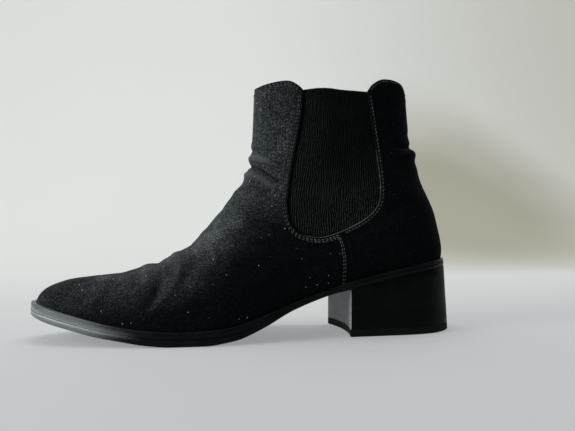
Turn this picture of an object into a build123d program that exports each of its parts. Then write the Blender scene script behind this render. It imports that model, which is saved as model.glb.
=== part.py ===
from build123d import *
import math
import os
from collections import namedtuple

import numpy as np

# Chelsea boot for the left foot, standing upright on its outsole and heel. Millimetres.
# The toe points to -X, the little-toe (lateral) side to -Y and the shaft up to +Z.
# The origin is under the middle of the boot, on the ground.

# ---------------------------------------------------------------- driving dimensions
SUEDE = 1.3                 # thickness of the outer suede
STIFFENER = 0.8             # toe puff, heel counter and reinforcing tapes
LINING = 1.6                # thickness of the lining and of the elastic gore
FITTING_GAP = 0.2           # room between the lining and the boards laid inside it
FLAT_LAYER = SUEDE + LINING             # depth from the outer skin to the inner face
INSOLE_BOARD = 2.0
INSOCK = 3.0
HEEL_PAD = 2.0
GORE_ALLOWANCE = 8.0        # elastic hidden between suede and lining, round the opening
HALF_WIDTH = 70.0           # anything wider than the boot, for cutting right across it
FAR = 160.0                 # x past both ends of the boot, likewise
BELOW_ALL = -40.0           # z under every piece, and one above every piece
ABOVE_ALL = 200.0
GLUE_GAP = 0.05             # room left between layers that are glued together
TOP_PIECE = 5.0             # thickness of the heel's wearing piece
BREAST_RADIUS = 114.5       # hollow of the heel's front face
BREAST_MIDDLE = 64.8        # x of the deepest line of that face
SHANK_WIDTH = 12.0
SHANK_THICKNESS = 1.5
SHANK_ENDS = (0.0, 88.0)
FILLER_END = -20.0          # x where the forefoot filler meets the shankboard
RIVET_RADIUS = 1.6
RIVET_LENGTH = 2.0
RIVET_PLACES = (10.0, 78.0)
HEAD_THICKNESS = 0.8        # of nails, screw and rivets
HEAD_SINK = 0.1             # how far nail and screw heads lie below the insole board's top
NAIL_RADIUS = 1.1
NAIL_HEAD_RADIUS = 2.2
NAIL_LENGTH = 24.0
NAIL_PLACES = ((76, -15), (76, 15), (96, -16), (96, 16), (116, -11), (116, 11))
SCREW_RADIUS = 2.4
SCREW_HEAD_RADIUS = 4.2
SCREW_LENGTH = 34.0
SCREW_X = 100.0
PIN_RADIUS = 1.2
PIN_FOOT = 1.5              # height of a pin's lower end above the ground
PIN_LENGTH = 12.0
PIN_PLACES = ((76, -18), (76, 18), (124, 0))
STITCH = (1.7, 0.55, 0.4)   # length, width and height of one visible stitch
STITCH_PITCH = 2.4
STITCH_CLEARANCE = 0.03     # daylight under a stitch, so that it rests on the suede

# The outer skin is a loft through stations. Each station's plane holds a point of the
# front ridge and a point of the back line, and stands square to the side view.
Station = namedtuple("Station", "front_x front_z back_x back_z middle_y lateral medial widest "
                                "front_roundness back_roundness")
STATIONS = [Station(*row) for row in (
    # toe cap, from the tip up to the ball of the foot
    (-139.3, 22.6, -139.2, 20.4, 3.5, 1.5, 1.5, 0.50, 2.00, 2.00),
    (-138.5, 26.0, -138.6, 17.0, 3.5, 7.0, 7.0, 0.52, 2.10, 2.20),
    (-136.6, 29.5, -136.9, 13.8, 3.5, 11.5, 11.5, 0.55, 2.20, 2.40),
    (-133.0, 32.7, -133.4, 11.0, 3.4, 15.8, 16.0, 0.58, 2.30, 2.60),
    (-127.0, 35.6, -127.4, 8.0, 3.2, 20.3, 21.0, 0.60, 2.30, 2.80),
    (-118.0, 38.2, -118.5, 4.5, 2.9, 25.2, 26.5, 0.62, 2.30, 3.00),
    (-104.0, 40.0, -105.0, 0.5, 2.4, 31.3, 32.2, 0.64, 2.30, 3.00),
    (-86.5, 42.2, -88.0, -2.5, 1.8, 37.3, 37.8, 0.66, 2.20, 3.00),
    (-69.0, 47.1, -70.5, -4.0, 1.2, 41.6, 41.4, 0.68, 2.10, 3.00),
    # instep
    (-52.3, 53.6, -53.0, -4.5, 0.6, 43.6, 42.6, 0.71, 2.00, 3.00),
    (-38.3, 63.1, -34.0, -4.0, 0.2, 43.8, 41.2, 0.74, 1.95, 3.00),
    (-26.5, 76.6, -12.0, -1.0, 0.0, 42.0, 37.8, 0.76, 1.90, 3.00),
    (-16.9, 88.9, 14.0, 9.0, 0.0, 37.6, 33.4, 0.76, 1.90, 3.00),
    (-9.6, 98.3, 44.0, 20.5, 0.0, 33.2, 30.6, 0.74, 1.90, 2.90),
    (-4.8, 105.8, 76.0, 29.5, 0.0, 31.4, 30.2, 0.71, 1.90, 2.80),
    # heel, turning round its back into the shaft
    (-2.3, 112.0, 103.0, 35.0, 0.0, 30.8, 30.2, 0.68, 1.95, 2.70),
    (-1.2, 117.5, 124.0, 36.5, 0.0, 30.4, 30.0, 0.65, 1.95, 2.60),
    (-0.7, 122.7, 133.3, 44.5, 0.0, 30.0, 29.8, 0.63, 2.00, 2.50),
    (-0.3, 128.2, 135.9, 57.0, 0.0, 29.4, 29.2, 0.61, 2.00, 2.40),
    (0.1, 134.0, 133.8, 71.0, 0.0, 28.6, 28.6, 0.59, 2.00, 2.30),
    # shaft, up past its top edge
    (0.5, 140.2, 129.8, 85.6, 0.0, 27.6, 27.6, 0.57, 2.05, 2.25),
    (0.8, 147.0, 123.3, 99.3, 0.0, 26.6, 26.6, 0.56, 2.10, 2.20),
    (1.2, 154.2, 117.8, 114.5, 0.0, 25.6, 25.6, 0.55, 2.10, 2.20),
    (1.6, 162.0, 113.6, 132.5, 0.0, 24.6, 24.6, 0.54, 2.10, 2.20),
    (2.0, 170.2, 111.3, 153.0, 0.0, 23.8, 23.8, 0.52, 2.10, 2.20),
    (2.4, 179.0, 110.2, 177.0, 0.0, 23.2, 23.2, 0.50, 2.10, 2.20),
)]
POINTS_PER_STATION = 32
# the foot and the shaft are two lofts that share one section; closer sections round the ankle
INSTEP_STATION = 9
HEEL_BACK_STATION = 16
FOOT_PLACES = [*range(INSTEP_STATION),
               *np.arange(INSTEP_STATION, HEEL_BACK_STATION + 0.5, 0.5)]
SHAFT_PLACES = [*np.arange(HEEL_BACK_STATION, len(STATIONS) - 0.5, 0.5)]

# Side view (x, z): where the upper stands on the sole, from the toe tip to the heel
SEAT_LINE = [(-144, 20.8), (-137.8, 18.8), (-127.4, 16.3), (-112.4, 12.9), (-98.4, 9.9), (-80, 7.1),
             (-64, 5.2), (-44, 4.5), (-23.6, 5.6), (-12.6, 7.2), (-3.9, 10.2), (6.4, 14.6), (22, 22.2),
             (44.5, 30.0), (60, 33.6), (80, 38.6), (107, 44.0), (130, 47.6), (145, 48.6)]
# top of the rand that covers the seam between upper and sole
RAND_LINE = [(-144, 25.0), (-134, 22.6), (-124.5, 20.2), (-109, 16.6), (-90, 12.5), (-64, 9.3),
             (-43, 8.7), (-27, 9.5), (-12.5, 11.6), (6.6, 17.9), (31, 26.4), (58, 34.9), (82, 41.1),
             (108, 46.5), (132, 50.0), (145, 50.8)]
# underside of the outsole: toe spring, flat tread, then the waist and the heel seat
TOE_SPRING = [(-144, 17.0), (-137.8, 15.2), (-127.4, 12.3), (-112.4, 8.8), (-98.4, 5.6), (-80, 2.7),
              (-70, 1.2), (-56, 0.0)]
WAIST_LINE = [(-32, 0.0), (-23.6, 1.0), (-12.6, 3.0), (-3.9, 6.2), (6.4, 10.9), (22, 18.9),
              (44.5, 26.9), (60, 30.6), (80, 35.5), (107, 41.2), (130, 44.6), (145, 45.4)]

# Plan view (x, y): outline of the outsole and the heel
SOLE_OUTLINE = [(-142.4, 3), (-141, -4), (-136.8, -11.8), (-130.1, -18.2), (-120, -24.4), (-105, -31.2),
                (-88, -37.4), (-68, -42.8), (-45, -45), (-22, -44.4), (0, -40.6), (22, -35.9),
                (42, -32.6), (61, -31), (85, -29.8), (105, -28.8), (119.4, -25.4), (130.3, -17.6),
                (136.4, -8.6), (138.4, 0), (136.4, 8.6), (130.3, 17.6), (119.4, 25.2), (105, 28.4),
                (85, 29.2), (60, 29.2), (40, 30), (20, 32.2), (0, 35.8), (-18, 39.6), (-38, 43.4),
                (-56, 45), (-72, 44.4), (-88, 41.8), (-105, 37.3), (-120, 31.4), (-130.1, 25.2),
                (-136.8, 18.8), (-141, 11)]
HEEL_FOOT = [(50, -30), (85, -29.4), (105, -28.6), (120.9, -25), (132.3, -17.8), (138.9, -9),
             (140.9, 0), (138.9, 9), (132.3, 17.8), (120.9, 25), (105, 28.6), (85, 29.4), (50, 30)]
HEEL_HEAD = [(50, -31.4), (85, -29.8), (105, -28.8), (119.4, -25.4), (130.3, -17.6), (136.4, -8.6),
             (138.4, 0), (136.4, 8.6), (130.3, 17.6), (119.4, 25.2), (105, 28.4), (85, 29.2), (50, 29.8)]
HEEL_HEAD_Z = 48.0
# inner edge of the lasting margin, where the upper's pulled-in edge stops under the insole
LASTING_GAP = [(-124, 3), (-117, -6), (-104, -15.5), (-86, -22.5), (-64, -28), (-42, -29.5),
               (-18, -28), (6, -23.5), (30, -19), (58, -16.5), (88, -15), (108, -13.5), (119, -9),
               (124, 0), (119, 9), (108, 13.2), (88, 14.4), (58, 14.6), (30, 16), (6, 19.4),
               (-18, 24.6), (-42, 28.2), (-64, 29.4), (-86, 26.2), (-104, 20.6), (-117, 12.6)]
HEEL_PAD_OUTLINE = [(74, 0), (75.5, -14), (84, -18.5), (100, -18.5), (113, -15.5), (122, -9), (125, 0),
                    (122, 9), (113, 15.5), (100, 18.5), (84, 18.5), (75.5, 14)]

# Side view (x, z): the edges of the pieces of the upper, the same on both sides
FRONT_TOP = [(-6, 165.9), (3, 167.6), (10.5, 169.0), (17, 169.8), (23.2, 169.6), (28.6, 166.5),
             (31.5, 163.7)]
GORE_FRONT = [(31.5, 163.7), (30.7, 149.7), (27.8, 132.8), (24.6, 116.3), (21.6, 98), (20.2, 86.3),
              (21.6, 75.6), (26.4, 68.9), (34.4, 65.5), (44, 65.4), (54.7, 68.6)]
GORE_REAR = [(54.7, 68.6), (69.1, 75.4), (78.3, 82.6), (82.6, 90.4), (83.2, 101), (82.4, 113.5),
             (80.6, 131), (78.2, 149), (75.8, 164.0)]
GORE_TOP = [(75.8, 164.0), (66, 164.1), (57, 164.4), (49, 165.2), (41, 165.0), (31.5, 163.7)]
BACK_TOP = [(75.8, 164.0), (80.2, 169.4), (86, 173.0), (92, 174.0), (98.4, 173.8), (105.0, 172.2),
            (109.3, 167.8), (111.9, 164.6), (118, 163.5)]
SIDE_SEAM = [(54.7, 68.6), (57.8, 60.1), (59.3, 49.3), (59.2, 35.2), (58.6, 20.0)]
PUFF_EDGE = [(-84, 60), (-88, 40), (-96, 20), (-108, 0)]
COUNTER_EDGE = [(62, 20), (66, 46), (78, 66), (96, 84), (116, 94), (150, 97)]
TAPE_DEPTH = 12.0           # lower edge of the reinforcing tape, below the top edge
TAPE_DROP = 2.0             # upper edge of that tape, below the top edge
FRONT_TAPE_ENDS = (-10, 40)
BACK_TAPE_ENDS = (70, 118)
SEAM_TAPE_HALF_WIDTH = 6.0
SEAM_TAPE_HEIGHTS = (99, 151)
SEAM_TAPE_FRONT = 100.0     # x; all of the skin behind it at those heights is back seam


# ---------------------------------------------------------------- shape of the last
def natural_curvatures(values):
    """Second derivatives of the natural cubic spline through equally spaced rows."""
    count = len(values)
    system = np.eye(count)
    load = np.zeros_like(values)
    for i in range(1, count - 1):
        system[i, i - 1:i + 2] = (1, 4, 1)
        load[i] = 6 * (values[i + 1] - 2 * values[i] + values[i - 1])
    return np.linalg.solve(system, load)


TABLE = np.array(STATIONS, float)
CURVATURES = natural_curvatures(TABLE)
LAST_STATION = len(STATIONS) - 1


def station_at(u):
    """Station dimensions at a fractional place u along the boot."""
    i = min(int(u), LAST_STATION - 1)
    t = u - i
    start = (1 - t) * TABLE[i] + ((1 - t) ** 3 - (1 - t)) / 6 * CURVATURES[i]
    end = t * TABLE[i + 1] + (t ** 3 - t) / 6 * CURVATURES[i + 1]
    return Station(*(start + end))


def inset_station(u, inset):
    """Station u of the surface that lies a given depth below the outer skin."""
    step = 0.01
    low = station_at(max(u - step, 0))
    high = station_at(min(u + step, LAST_STATION))
    here = station_at(u)
    front = np.array([high.front_z - low.front_z, low.front_x - high.front_x])
    back = np.array([low.back_z - high.back_z, high.back_x - low.back_x])
    advance = math.hypot(high.front_x + high.back_x - low.front_x - low.back_x,
                         high.front_z + high.back_z - low.front_z - low.back_z) / 2
    front_x, front_z = (here.front_x, here.front_z) + inset * front / np.linalg.norm(front)
    back_x, back_z = (here.back_x, here.back_z) + inset * back / np.linalg.norm(back)
    lateral = here.lateral - inset / math.hypot(1, (high.lateral - low.lateral) / advance)
    medial = here.medial - inset / math.hypot(1, (high.medial - low.medial) / advance)
    return here._replace(front_x=front_x, front_z=front_z, back_x=back_x, back_z=back_z,
                         lateral=lateral, medial=medial)


def station_plane(station):
    """Plane through both guide points: x runs from the front ridge to the back, y is +Y."""
    down = Vector(station.back_x - station.front_x, 0, station.back_z - station.front_z).normalized()
    return Plane(origin=(station.front_x, 0, station.front_z), x_dir=down, z_dir=down.cross(Vector(0, 1, 0)))


def station_points(station):
    """Closed ring of points of one station, in its own plane."""
    depth = math.hypot(station.back_x - station.front_x, station.back_z - station.front_z)
    points = []
    for i in range(POINTS_PER_STATION):
        angle = 2 * math.pi * i / POINTS_PER_STATION
        cosine, sine = math.cos(angle), math.sin(angle)
        roundness = station.front_roundness if cosine > 0 else station.back_roundness
        along = abs(cosine) ** (2 / roundness)
        across = math.copysign(abs(sine) ** (2 / roundness), sine)
        if cosine > 0:
            share = station.widest * (1 - along)
        else:
            share = station.widest + (1 - station.widest) * along
        half_width = station.lateral if sine > 0 else station.medial
        points.append((share * depth, station.middle_y - across * half_width))
    return points


def last_body(inset):
    """Solid bounded by the surface that lies a given depth below the outer skin."""
    knots = [i / POINTS_PER_STATION for i in range(POINTS_PER_STATION + 1)]
    with BuildPart() as body:
        for places in (FOOT_PLACES, SHAFT_PLACES):
            for u in places:
                station = inset_station(u, inset)
                with BuildSketch(station_plane(station)):
                    with BuildLine():
                        add(Edge.make_spline(station_points(station), periodic=True, parameters=knots))
                    make_face()
            loft()
    return body.part


def skin_y(x, z, side):
    """Y of the outer skin at a place of the side view; side is -1 lateral, +1 medial."""
    low, high = 0.0, float(LAST_STATION)
    for _ in range(50):
        u = (low + high) / 2
        here = station_at(u)
        turn = ((here.back_x - here.front_x) * (z - here.front_z)
                - (here.back_z - here.front_z) * (x - here.front_x))
        low, high = (u, high) if turn > 0 else (low, u)
    depth = (here.back_x - here.front_x, here.back_z - here.front_z)
    share = ((x - here.front_x) * depth[0] + (z - here.front_z) * depth[1]) / math.hypot(*depth) ** 2
    if share < here.widest:
        along, roundness = (here.widest - share) / here.widest, here.front_roundness
    else:
        along, roundness = (share - here.widest) / (1 - here.widest), here.back_roundness
    across = (1 - min(along, 1) ** roundness) ** (1 / roundness)
    return here.middle_y + side * across * (here.lateral if side < 0 else here.medial)


# ---------------------------------------------------------------- cutting regions
def raised(points, height):
    """The same side-view line, a given height further up."""
    return [(x, z + height) for x, z in points]


def seat_height(x):
    """Height of the seat line at x."""
    xs, zs = zip(*SEAT_LINE)
    return float(np.interp(x, xs, zs))


def seat_plane(x, y, height):
    """Plane square to the seat line, a given height above it."""
    slope = (seat_height(x + 4) - seat_height(x - 4)) / 8
    up = Vector(-slope, 0, 1).normalized()
    foot = Vector(x, y, seat_height(x))
    return Plane(origin=foot + up * height, x_dir=(1, 0, slope), z_dir=up)


def above(line, height):
    """Everything above a side-view line raised by a height, right across the boot."""
    points = raised(line, height)
    with BuildPart() as region:
        with BuildSketch(Plane.XZ):
            with BuildLine():
                Spline(*points)
                Polyline(points[-1], (points[-1][0], ABOVE_ALL), (points[0][0], ABOVE_ALL), points[0])
            make_face()
        extrude(amount=HALF_WIDTH, both=True)
    return region.part


def between(line, low, high):
    """Band between two heights above the same side-view line."""
    lower, upper = raised(line, low), raised(line, high)
    with BuildPart() as region:
        with BuildSketch(Plane.XZ):
            with BuildLine():
                Spline(*lower)
                Line(lower[-1], upper[-1])
                Spline(*upper)
                Line(upper[0], lower[0])
            make_face()
        extrude(amount=HALF_WIDTH, both=True)
    return region.part


def side_region(*edges):
    """Prism right across the boot, bounded in side view by smooth edges joined end to end."""
    with BuildPart() as region:
        with BuildSketch(Plane.XZ):
            with BuildLine():
                for edge in edges:
                    if len(edge) > 2:
                        Spline(*edge)
                    else:
                        Line(*edge)
            make_face()
        extrude(amount=HALF_WIDTH, both=True)
    return region.part


def plan_region(outline):
    """Upright prism on a smooth closed plan-view outline."""
    with BuildPart() as region:
        with BuildSketch(Plane.XY.offset(-20)):
            with BuildLine():
                Spline(*outline, periodic=True)
            make_face()
        extrude(amount=100)
    return region.part


def block(low, high):
    """Box between two corners."""
    size = [b - a for a, b in zip(low, high)]
    with BuildPart() as region:
        with Locations(tuple(low)):
            Box(*size, align=(Align.MIN, Align.MIN, Align.MIN))
    return region.part


def common(*solids):
    """What all the given solids share."""
    with BuildPart() as shared:
        add(solids[0])
        for solid in solids[1:]:
            add(solid, mode=Mode.INTERSECT)
    return shared.part


def without(solid, *cutters):
    """The first solid with the others cut out of it."""
    with BuildPart() as rest:
        add(solid)
        for cutter in cutters:
            add(cutter, mode=Mode.SUBTRACT)
    return rest.part


def save(part, name):
    """Label a finished piece and write its STEP file."""
    part.label = name
    export_step(part, f"parts/{name}.step")


os.makedirs("parts", exist_ok=True)
outer_body = last_body(0)
suede_body = last_body(SUEDE)
stiffener_body = last_body(SUEDE + STIFFENER)
inner_body = last_body(FLAT_LAYER)
fitting_body = last_body(FLAT_LAYER + FITTING_GAP)
sole_prism = plan_region(SOLE_OUTLINE)
lasting_gap = common(plan_region(LASTING_GAP), between(SEAT_LINE, -SUEDE, FLAT_LAYER + SUEDE))

# regions of the side view; each runs below the seat and past the ends of the boot
seam_foot = (SIDE_SEAM[-1][0], BELOW_ALL)
front_foot, front_head = (-FAR, BELOW_ALL), (-FAR, FRONT_TOP[0][1])
back_foot, back_head = (FAR, BELOW_ALL), (FAR, BACK_TOP[-1][1])
vamp_region = side_region(FRONT_TOP, GORE_FRONT, SIDE_SEAM, [SIDE_SEAM[-1], seam_foot],
                          [seam_foot, front_foot], [front_foot, front_head],
                          [front_head, FRONT_TOP[0]])
quarter_region = side_region(BACK_TOP, [BACK_TOP[-1], back_head], [back_head, back_foot],
                             [back_foot, seam_foot], [seam_foot, SIDE_SEAM[-1]],
                             SIDE_SEAM[::-1], GORE_REAR)
puff_foot, puff_head = (-FAR, PUFF_EDGE[-1][1]), (-FAR, PUFF_EDGE[0][1])
puff_region = side_region(PUFF_EDGE, [PUFF_EDGE[-1], puff_foot], [puff_foot, puff_head],
                          [puff_head, PUFF_EDGE[0]])
counter_foot = (COUNTER_EDGE[-1][0], COUNTER_EDGE[0][1])
counter_region = side_region(COUNTER_EDGE, [COUNTER_EDGE[-1], counter_foot],
                             [counter_foot, COUNTER_EDGE[0]])


def shifted(edge, distance):
    """Side-view edge with each point moved a distance to the left of its direction."""
    moved = []
    for i, (x, z) in enumerate(edge):
        before, after = edge[max(i - 1, 0)], edge[min(i + 1, len(edge) - 1)]
        run, rise = after[0] - before[0], after[1] - before[1]
        scale = distance / math.hypot(run, rise)
        moved.append((x - rise * scale, z + run * scale))
    return moved


def gore_region():
    """The gore's opening with its hidden allowance, level with the opening at the top."""
    edge = shifted(GORE_FRONT + GORE_REAR[1:], -GORE_ALLOWANCE)
    return side_region(edge, [edge[-1], *GORE_TOP[1:-1], edge[0]])


gore_prism = gore_region()


# ---------------------------------------------------------------- upper: suede
suede_shell = without(common(outer_body, above(SEAT_LINE, 0)),
                      common(suede_body, above(SEAT_LINE, SUEDE)), lasting_gap)
lateral_half = block((-FAR, -HALF_WIDTH, BELOW_ALL), (FAR, 0, ABOVE_ALL))
medial_half = block((-FAR, 0, BELOW_ALL), (FAR, HALF_WIDTH, ABOVE_ALL))
save(common(suede_shell, vamp_region), "vamp")
back_suede = common(suede_shell, quarter_region)
save(common(back_suede, lateral_half), "quarter_lateral")
save(common(back_suede, medial_half), "quarter_medial")

# ---------------------------------------------------------------- upper: inner layer
inner_shell = without(common(suede_body, above(SEAT_LINE, SUEDE)),
                      common(inner_body, above(SEAT_LINE, FLAT_LAYER)), lasting_gap)
stiffener_shell = without(common(suede_body, above(SEAT_LINE, SUEDE)), stiffener_body)
gore_band = common(inner_shell, gore_prism)
save(common(gore_band, lateral_half), "gore_lateral")
save(common(gore_band, medial_half), "gore_medial")

toe_puff = common(stiffener_shell, puff_region)
heel_counter = common(stiffener_shell, counter_region)
save(toe_puff, "toe_puff")
save(heel_counter, "heel_counter")


def top_tape(top_edge, low_x, high_x):
    """Reinforcing tape that follows one top edge, between low_x and high_x."""
    upper = [(x, z - TAPE_DROP) for x, z in top_edge]
    lower = [(x, z - TAPE_DEPTH) for x, z in top_edge]
    band = side_region(upper, [upper[-1], lower[-1]], lower[::-1], [lower[0], upper[0]])
    slab = block((low_x, -HALF_WIDTH, BELOW_ALL), (high_x, HALF_WIDTH, ABOVE_ALL))
    return without(common(stiffener_shell, band, slab), gore_prism)


front_tape = top_tape(FRONT_TOP, *FRONT_TAPE_ENDS)
back_tape = top_tape(BACK_TOP, *BACK_TAPE_ENDS)
save(front_tape, "collar_tape_front")
save(back_tape, "collar_tape_back")
seam_slab = block((SEAM_TAPE_FRONT, -SEAM_TAPE_HALF_WIDTH, SEAM_TAPE_HEIGHTS[0]),
                  (FAR, SEAM_TAPE_HALF_WIDTH, SEAM_TAPE_HEIGHTS[1]))
back_seam_tape = common(stiffener_shell, seam_slab)
save(back_seam_tape, "back_seam_tape")

save(without(common(inner_shell, vamp_region), gore_prism, toe_puff, front_tape), "lining_front")
save(without(common(inner_shell, quarter_region), gore_prism, heel_counter, back_tape, back_seam_tape),
     "lining_back")


# ---------------------------------------------------------------- heel fasteners
def driven_fastener(plane, radius, head_radius, length):
    """Round shank with a flat head, driven down from the plane; the head is flush with it."""
    with BuildPart() as fastener:
        with BuildSketch(plane):
            Circle(head_radius)
        extrude(amount=-HEAD_THICKNESS)
        with BuildSketch(plane):
            Circle(radius)
        extrude(amount=-length)
    return fastener.part


board_top = FLAT_LAYER + INSOLE_BOARD
head_top = board_top - HEAD_SINK
nails = [driven_fastener(seat_plane(x, y, head_top), NAIL_RADIUS, NAIL_HEAD_RADIUS, NAIL_LENGTH)
         for x, y in NAIL_PLACES]
screw = driven_fastener(seat_plane(SCREW_X, 0, head_top), SCREW_RADIUS, SCREW_HEAD_RADIUS, SCREW_LENGTH)
rivet_top = FLAT_LAYER - HEAD_THICKNESS / 2
rivets = [driven_fastener(seat_plane(x, 0, rivet_top), RIVET_RADIUS, RIVET_RADIUS, RIVET_LENGTH)
          for x in RIVET_PLACES]
save(Compound(nails), "heel_nails")
save(screw, "heel_screw")
save(Compound(rivets), "shank_rivets")

# ---------------------------------------------------------------- bottom, inside
base_gap = common(lasting_gap, between(SEAT_LINE, 0, FLAT_LAYER - GLUE_GAP))
shank_slot = block((SHANK_ENDS[0], -SHANK_WIDTH / 2, BELOW_ALL), (SHANK_ENDS[1], SHANK_WIDTH / 2, ABOVE_ALL))
shank_strip = common(shank_slot, between(SEAT_LINE, GLUE_GAP, GLUE_GAP + SHANK_THICKNESS))
shank_room = common(shank_slot, between(SEAT_LINE, -SUEDE, 2 * GLUE_GAP + SHANK_THICKNESS))
filler_slab = block((-FAR, -HALF_WIDTH, BELOW_ALL), (FILLER_END, HALF_WIDTH, ABOVE_ALL))
shankboard_slab = block((FILLER_END + 0.5, -HALF_WIDTH, BELOW_ALL), (FAR, HALF_WIDTH, ABOVE_ALL))
save(common(base_gap, filler_slab), "forefoot_filler")
save(without(common(base_gap, shankboard_slab), shank_room, screw, *nails, *rivets), "shankboard")
save(without(shank_strip, *rivets), "shank")
save(without(common(fitting_body, between(SEAT_LINE, FLAT_LAYER, board_top)), screw, *nails),
     "insole_board")
pad_band = common(between(SEAT_LINE, board_top + GLUE_GAP, board_top + HEEL_PAD),
                  plan_region(HEEL_PAD_OUTLINE))
save(pad_band, "heel_pad")
insock_band = common(fitting_body, between(SEAT_LINE, board_top + GLUE_GAP, board_top + INSOCK))
save(without(insock_band, pad_band), "insock")


# ---------------------------------------------------------------- bottom, outside
def outsole_region():
    """Side-view band of the outsole, flat on the ground under the ball of the foot."""
    with BuildPart() as region:
        with BuildSketch(Plane.XZ):
            with BuildLine():
                Spline(*TOE_SPRING, tangents=((1, -0.3), (1, 0)))
                Line(TOE_SPRING[-1], WAIST_LINE[0])
                Spline(*WAIST_LINE, tangents=((1, 0), (1, 0.05)))
                Line(WAIST_LINE[-1], SEAT_LINE[-1])
                Spline(*SEAT_LINE)
                Line(SEAT_LINE[0], TOE_SPRING[0])
            make_face()
        extrude(amount=HALF_WIDTH, both=True)
    return region.part


outsole_blank = common(sole_prism, outsole_region())
save(without(outsole_blank, screw, *nails), "outsole")
rand_band = side_region(SEAT_LINE, [SEAT_LINE[-1], RAND_LINE[-1]], RAND_LINE[::-1],
                        [RAND_LINE[0], SEAT_LINE[0]])
save(without(common(sole_prism, rand_band), outer_body), "rand")


def heel_stack():
    """Whole heel, with the hollow breast, up to the underside of the outsole."""
    with BuildPart() as stack:
        for height, outline in ((0, HEEL_FOOT), (HEEL_HEAD_Z, HEEL_HEAD)):
            with BuildSketch(Plane.XY.offset(height)):
                with BuildLine():
                    Spline(*outline)
                    Line(outline[-1], outline[0])
                make_face()
        loft()
        with BuildSketch(Plane.XY.offset(-1)):
            with Locations((BREAST_MIDDLE - BREAST_RADIUS, 0)):
                Circle(BREAST_RADIUS)
        extrude(amount=HEEL_HEAD_Z + 2, mode=Mode.SUBTRACT)
        with BuildSketch(Plane.XZ):
            with BuildLine():
                Spline(*WAIST_LINE, tangents=((1, 0), (1, 0.05)))
                Polyline(WAIST_LINE[-1], (WAIST_LINE[-1][0], ABOVE_ALL), (WAIST_LINE[0][0], ABOVE_ALL),
                         WAIST_LINE[0])
            make_face()
        extrude(amount=HALF_WIDTH, both=True, mode=Mode.SUBTRACT)
    return stack.part


def upright_pin(x, y):
    """Pin that holds the top piece under the heel block."""
    with BuildPart() as pin:
        with BuildSketch(Plane.XY.offset(PIN_FOOT)):
            with Locations((x, y)):
                Circle(PIN_RADIUS)
        extrude(amount=PIN_LENGTH)
    return pin.part


heel = heel_stack()
pins = [upright_pin(x, y) for x, y in PIN_PLACES]
top_piece_slab = block((-FAR, -HALF_WIDTH, BELOW_ALL), (FAR, HALF_WIDTH, TOP_PIECE))
save(Compound(pins), "top_piece_pins")
save(without(heel, top_piece_slab, screw, *nails, *pins), "heel_block")
save(without(common(heel, top_piece_slab), *pins), "top_piece")


# ---------------------------------------------------------------- visible stitching
def row_points(edge, away, skip):
    """Evenly spaced places beside a side-view edge, from a distance past its start."""
    with BuildLine(Plane.XY) as path:
        if len(edge) > 2:
            Spline(*edge)
        else:
            Line(*edge)
    line = path.line.edges()[0]
    start = skip / line.length
    count = int((line.length - skip) / STITCH_PITCH)
    places = []
    for i in range(count):
        share = start + (1 - start) * (i + 0.5) / count
        point, along = line.position_at(share), line.tangent_at(share)
        places.append((point.X + along.Y * away, point.Y - along.X * away, along.X, along.Y))
    return places


def stitch_plane(x, z, run_x, run_z, side):
    """Plane on the outer skin whose x axis runs along the stitch."""
    step = 0.2
    slope_x = (skin_y(x + step, z, side) - skin_y(x - step, z, side)) / (2 * step)
    slope_z = (skin_y(x, z + step, side) - skin_y(x, z - step, side)) / (2 * step)
    normal = Vector(-slope_x, 1, -slope_z).normalized() * side
    lift = STITCH_CLEARANCE + STITCH[2] / 2
    along = Vector(run_x, slope_x * run_x + slope_z * run_z, run_z)
    return Plane(origin=Vector(x, skin_y(x, z, side), z) + normal * lift, x_dir=along, z_dir=normal)


def stitching(name, rows, sides):
    """One node of stitches; a row is a side-view edge, its distance from it and a plain start."""
    with BuildPart() as stitch:
        Box(*STITCH)
    stitches = []
    for edge, away, skip in rows:
        for x, z, run_x, run_z in row_points(edge, away, skip):
            for side in sides:
                place = stitch_plane(x, z, run_x, run_z, side).location
                stitches.append(stitch.part.moved(place))
    save(Compound(stitches), name)


GORE_ROWS = [(GORE_FRONT, 2.3, 5.0), (GORE_FRONT, 3.8, 5.0), (GORE_REAR, 2.0, 1.0)]
SEAM_ROWS = [(SIDE_SEAM[:4], 1.8, 6.5), (SIDE_SEAM[:4], 3.2, 6.5)]
COLLAR_ROWS = [(FRONT_TOP[1:], 1.7, 0.0), (FRONT_TOP[1:], 3.1, 0.0), (BACK_TOP[:7], 1.7, 5.0)]
stitching("gore_stitching_lateral", GORE_ROWS, (-1,))
stitching("gore_stitching_medial", GORE_ROWS, (1,))
stitching("side_seam_stitching", SEAM_ROWS, (-1, 1))
stitching("collar_stitching", COLLAR_ROWS, (-1, 1))
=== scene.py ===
import math

import bpy
import numpy as np
from mathutils import Matrix, Vector


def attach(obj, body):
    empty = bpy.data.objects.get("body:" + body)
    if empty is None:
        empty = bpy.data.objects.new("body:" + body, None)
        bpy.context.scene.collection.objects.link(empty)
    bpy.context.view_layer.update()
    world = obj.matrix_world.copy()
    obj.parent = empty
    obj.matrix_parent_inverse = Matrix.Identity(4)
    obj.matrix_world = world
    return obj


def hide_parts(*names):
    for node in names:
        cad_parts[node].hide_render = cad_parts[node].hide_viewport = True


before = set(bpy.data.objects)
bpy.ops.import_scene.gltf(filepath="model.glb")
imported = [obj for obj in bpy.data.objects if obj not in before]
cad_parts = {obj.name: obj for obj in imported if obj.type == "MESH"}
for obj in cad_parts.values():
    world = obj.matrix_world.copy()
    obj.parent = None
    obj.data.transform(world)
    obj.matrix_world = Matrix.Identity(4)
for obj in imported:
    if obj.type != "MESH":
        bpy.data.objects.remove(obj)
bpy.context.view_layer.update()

# Left chelsea boot. The last and the outlines are in millimetres; meshes are written in metres.
# The toe points to -X, the lateral side to -Y, the shaft up to +Z.
MM = 0.001
COARSE = 1
SUEDE = 1.3
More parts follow.
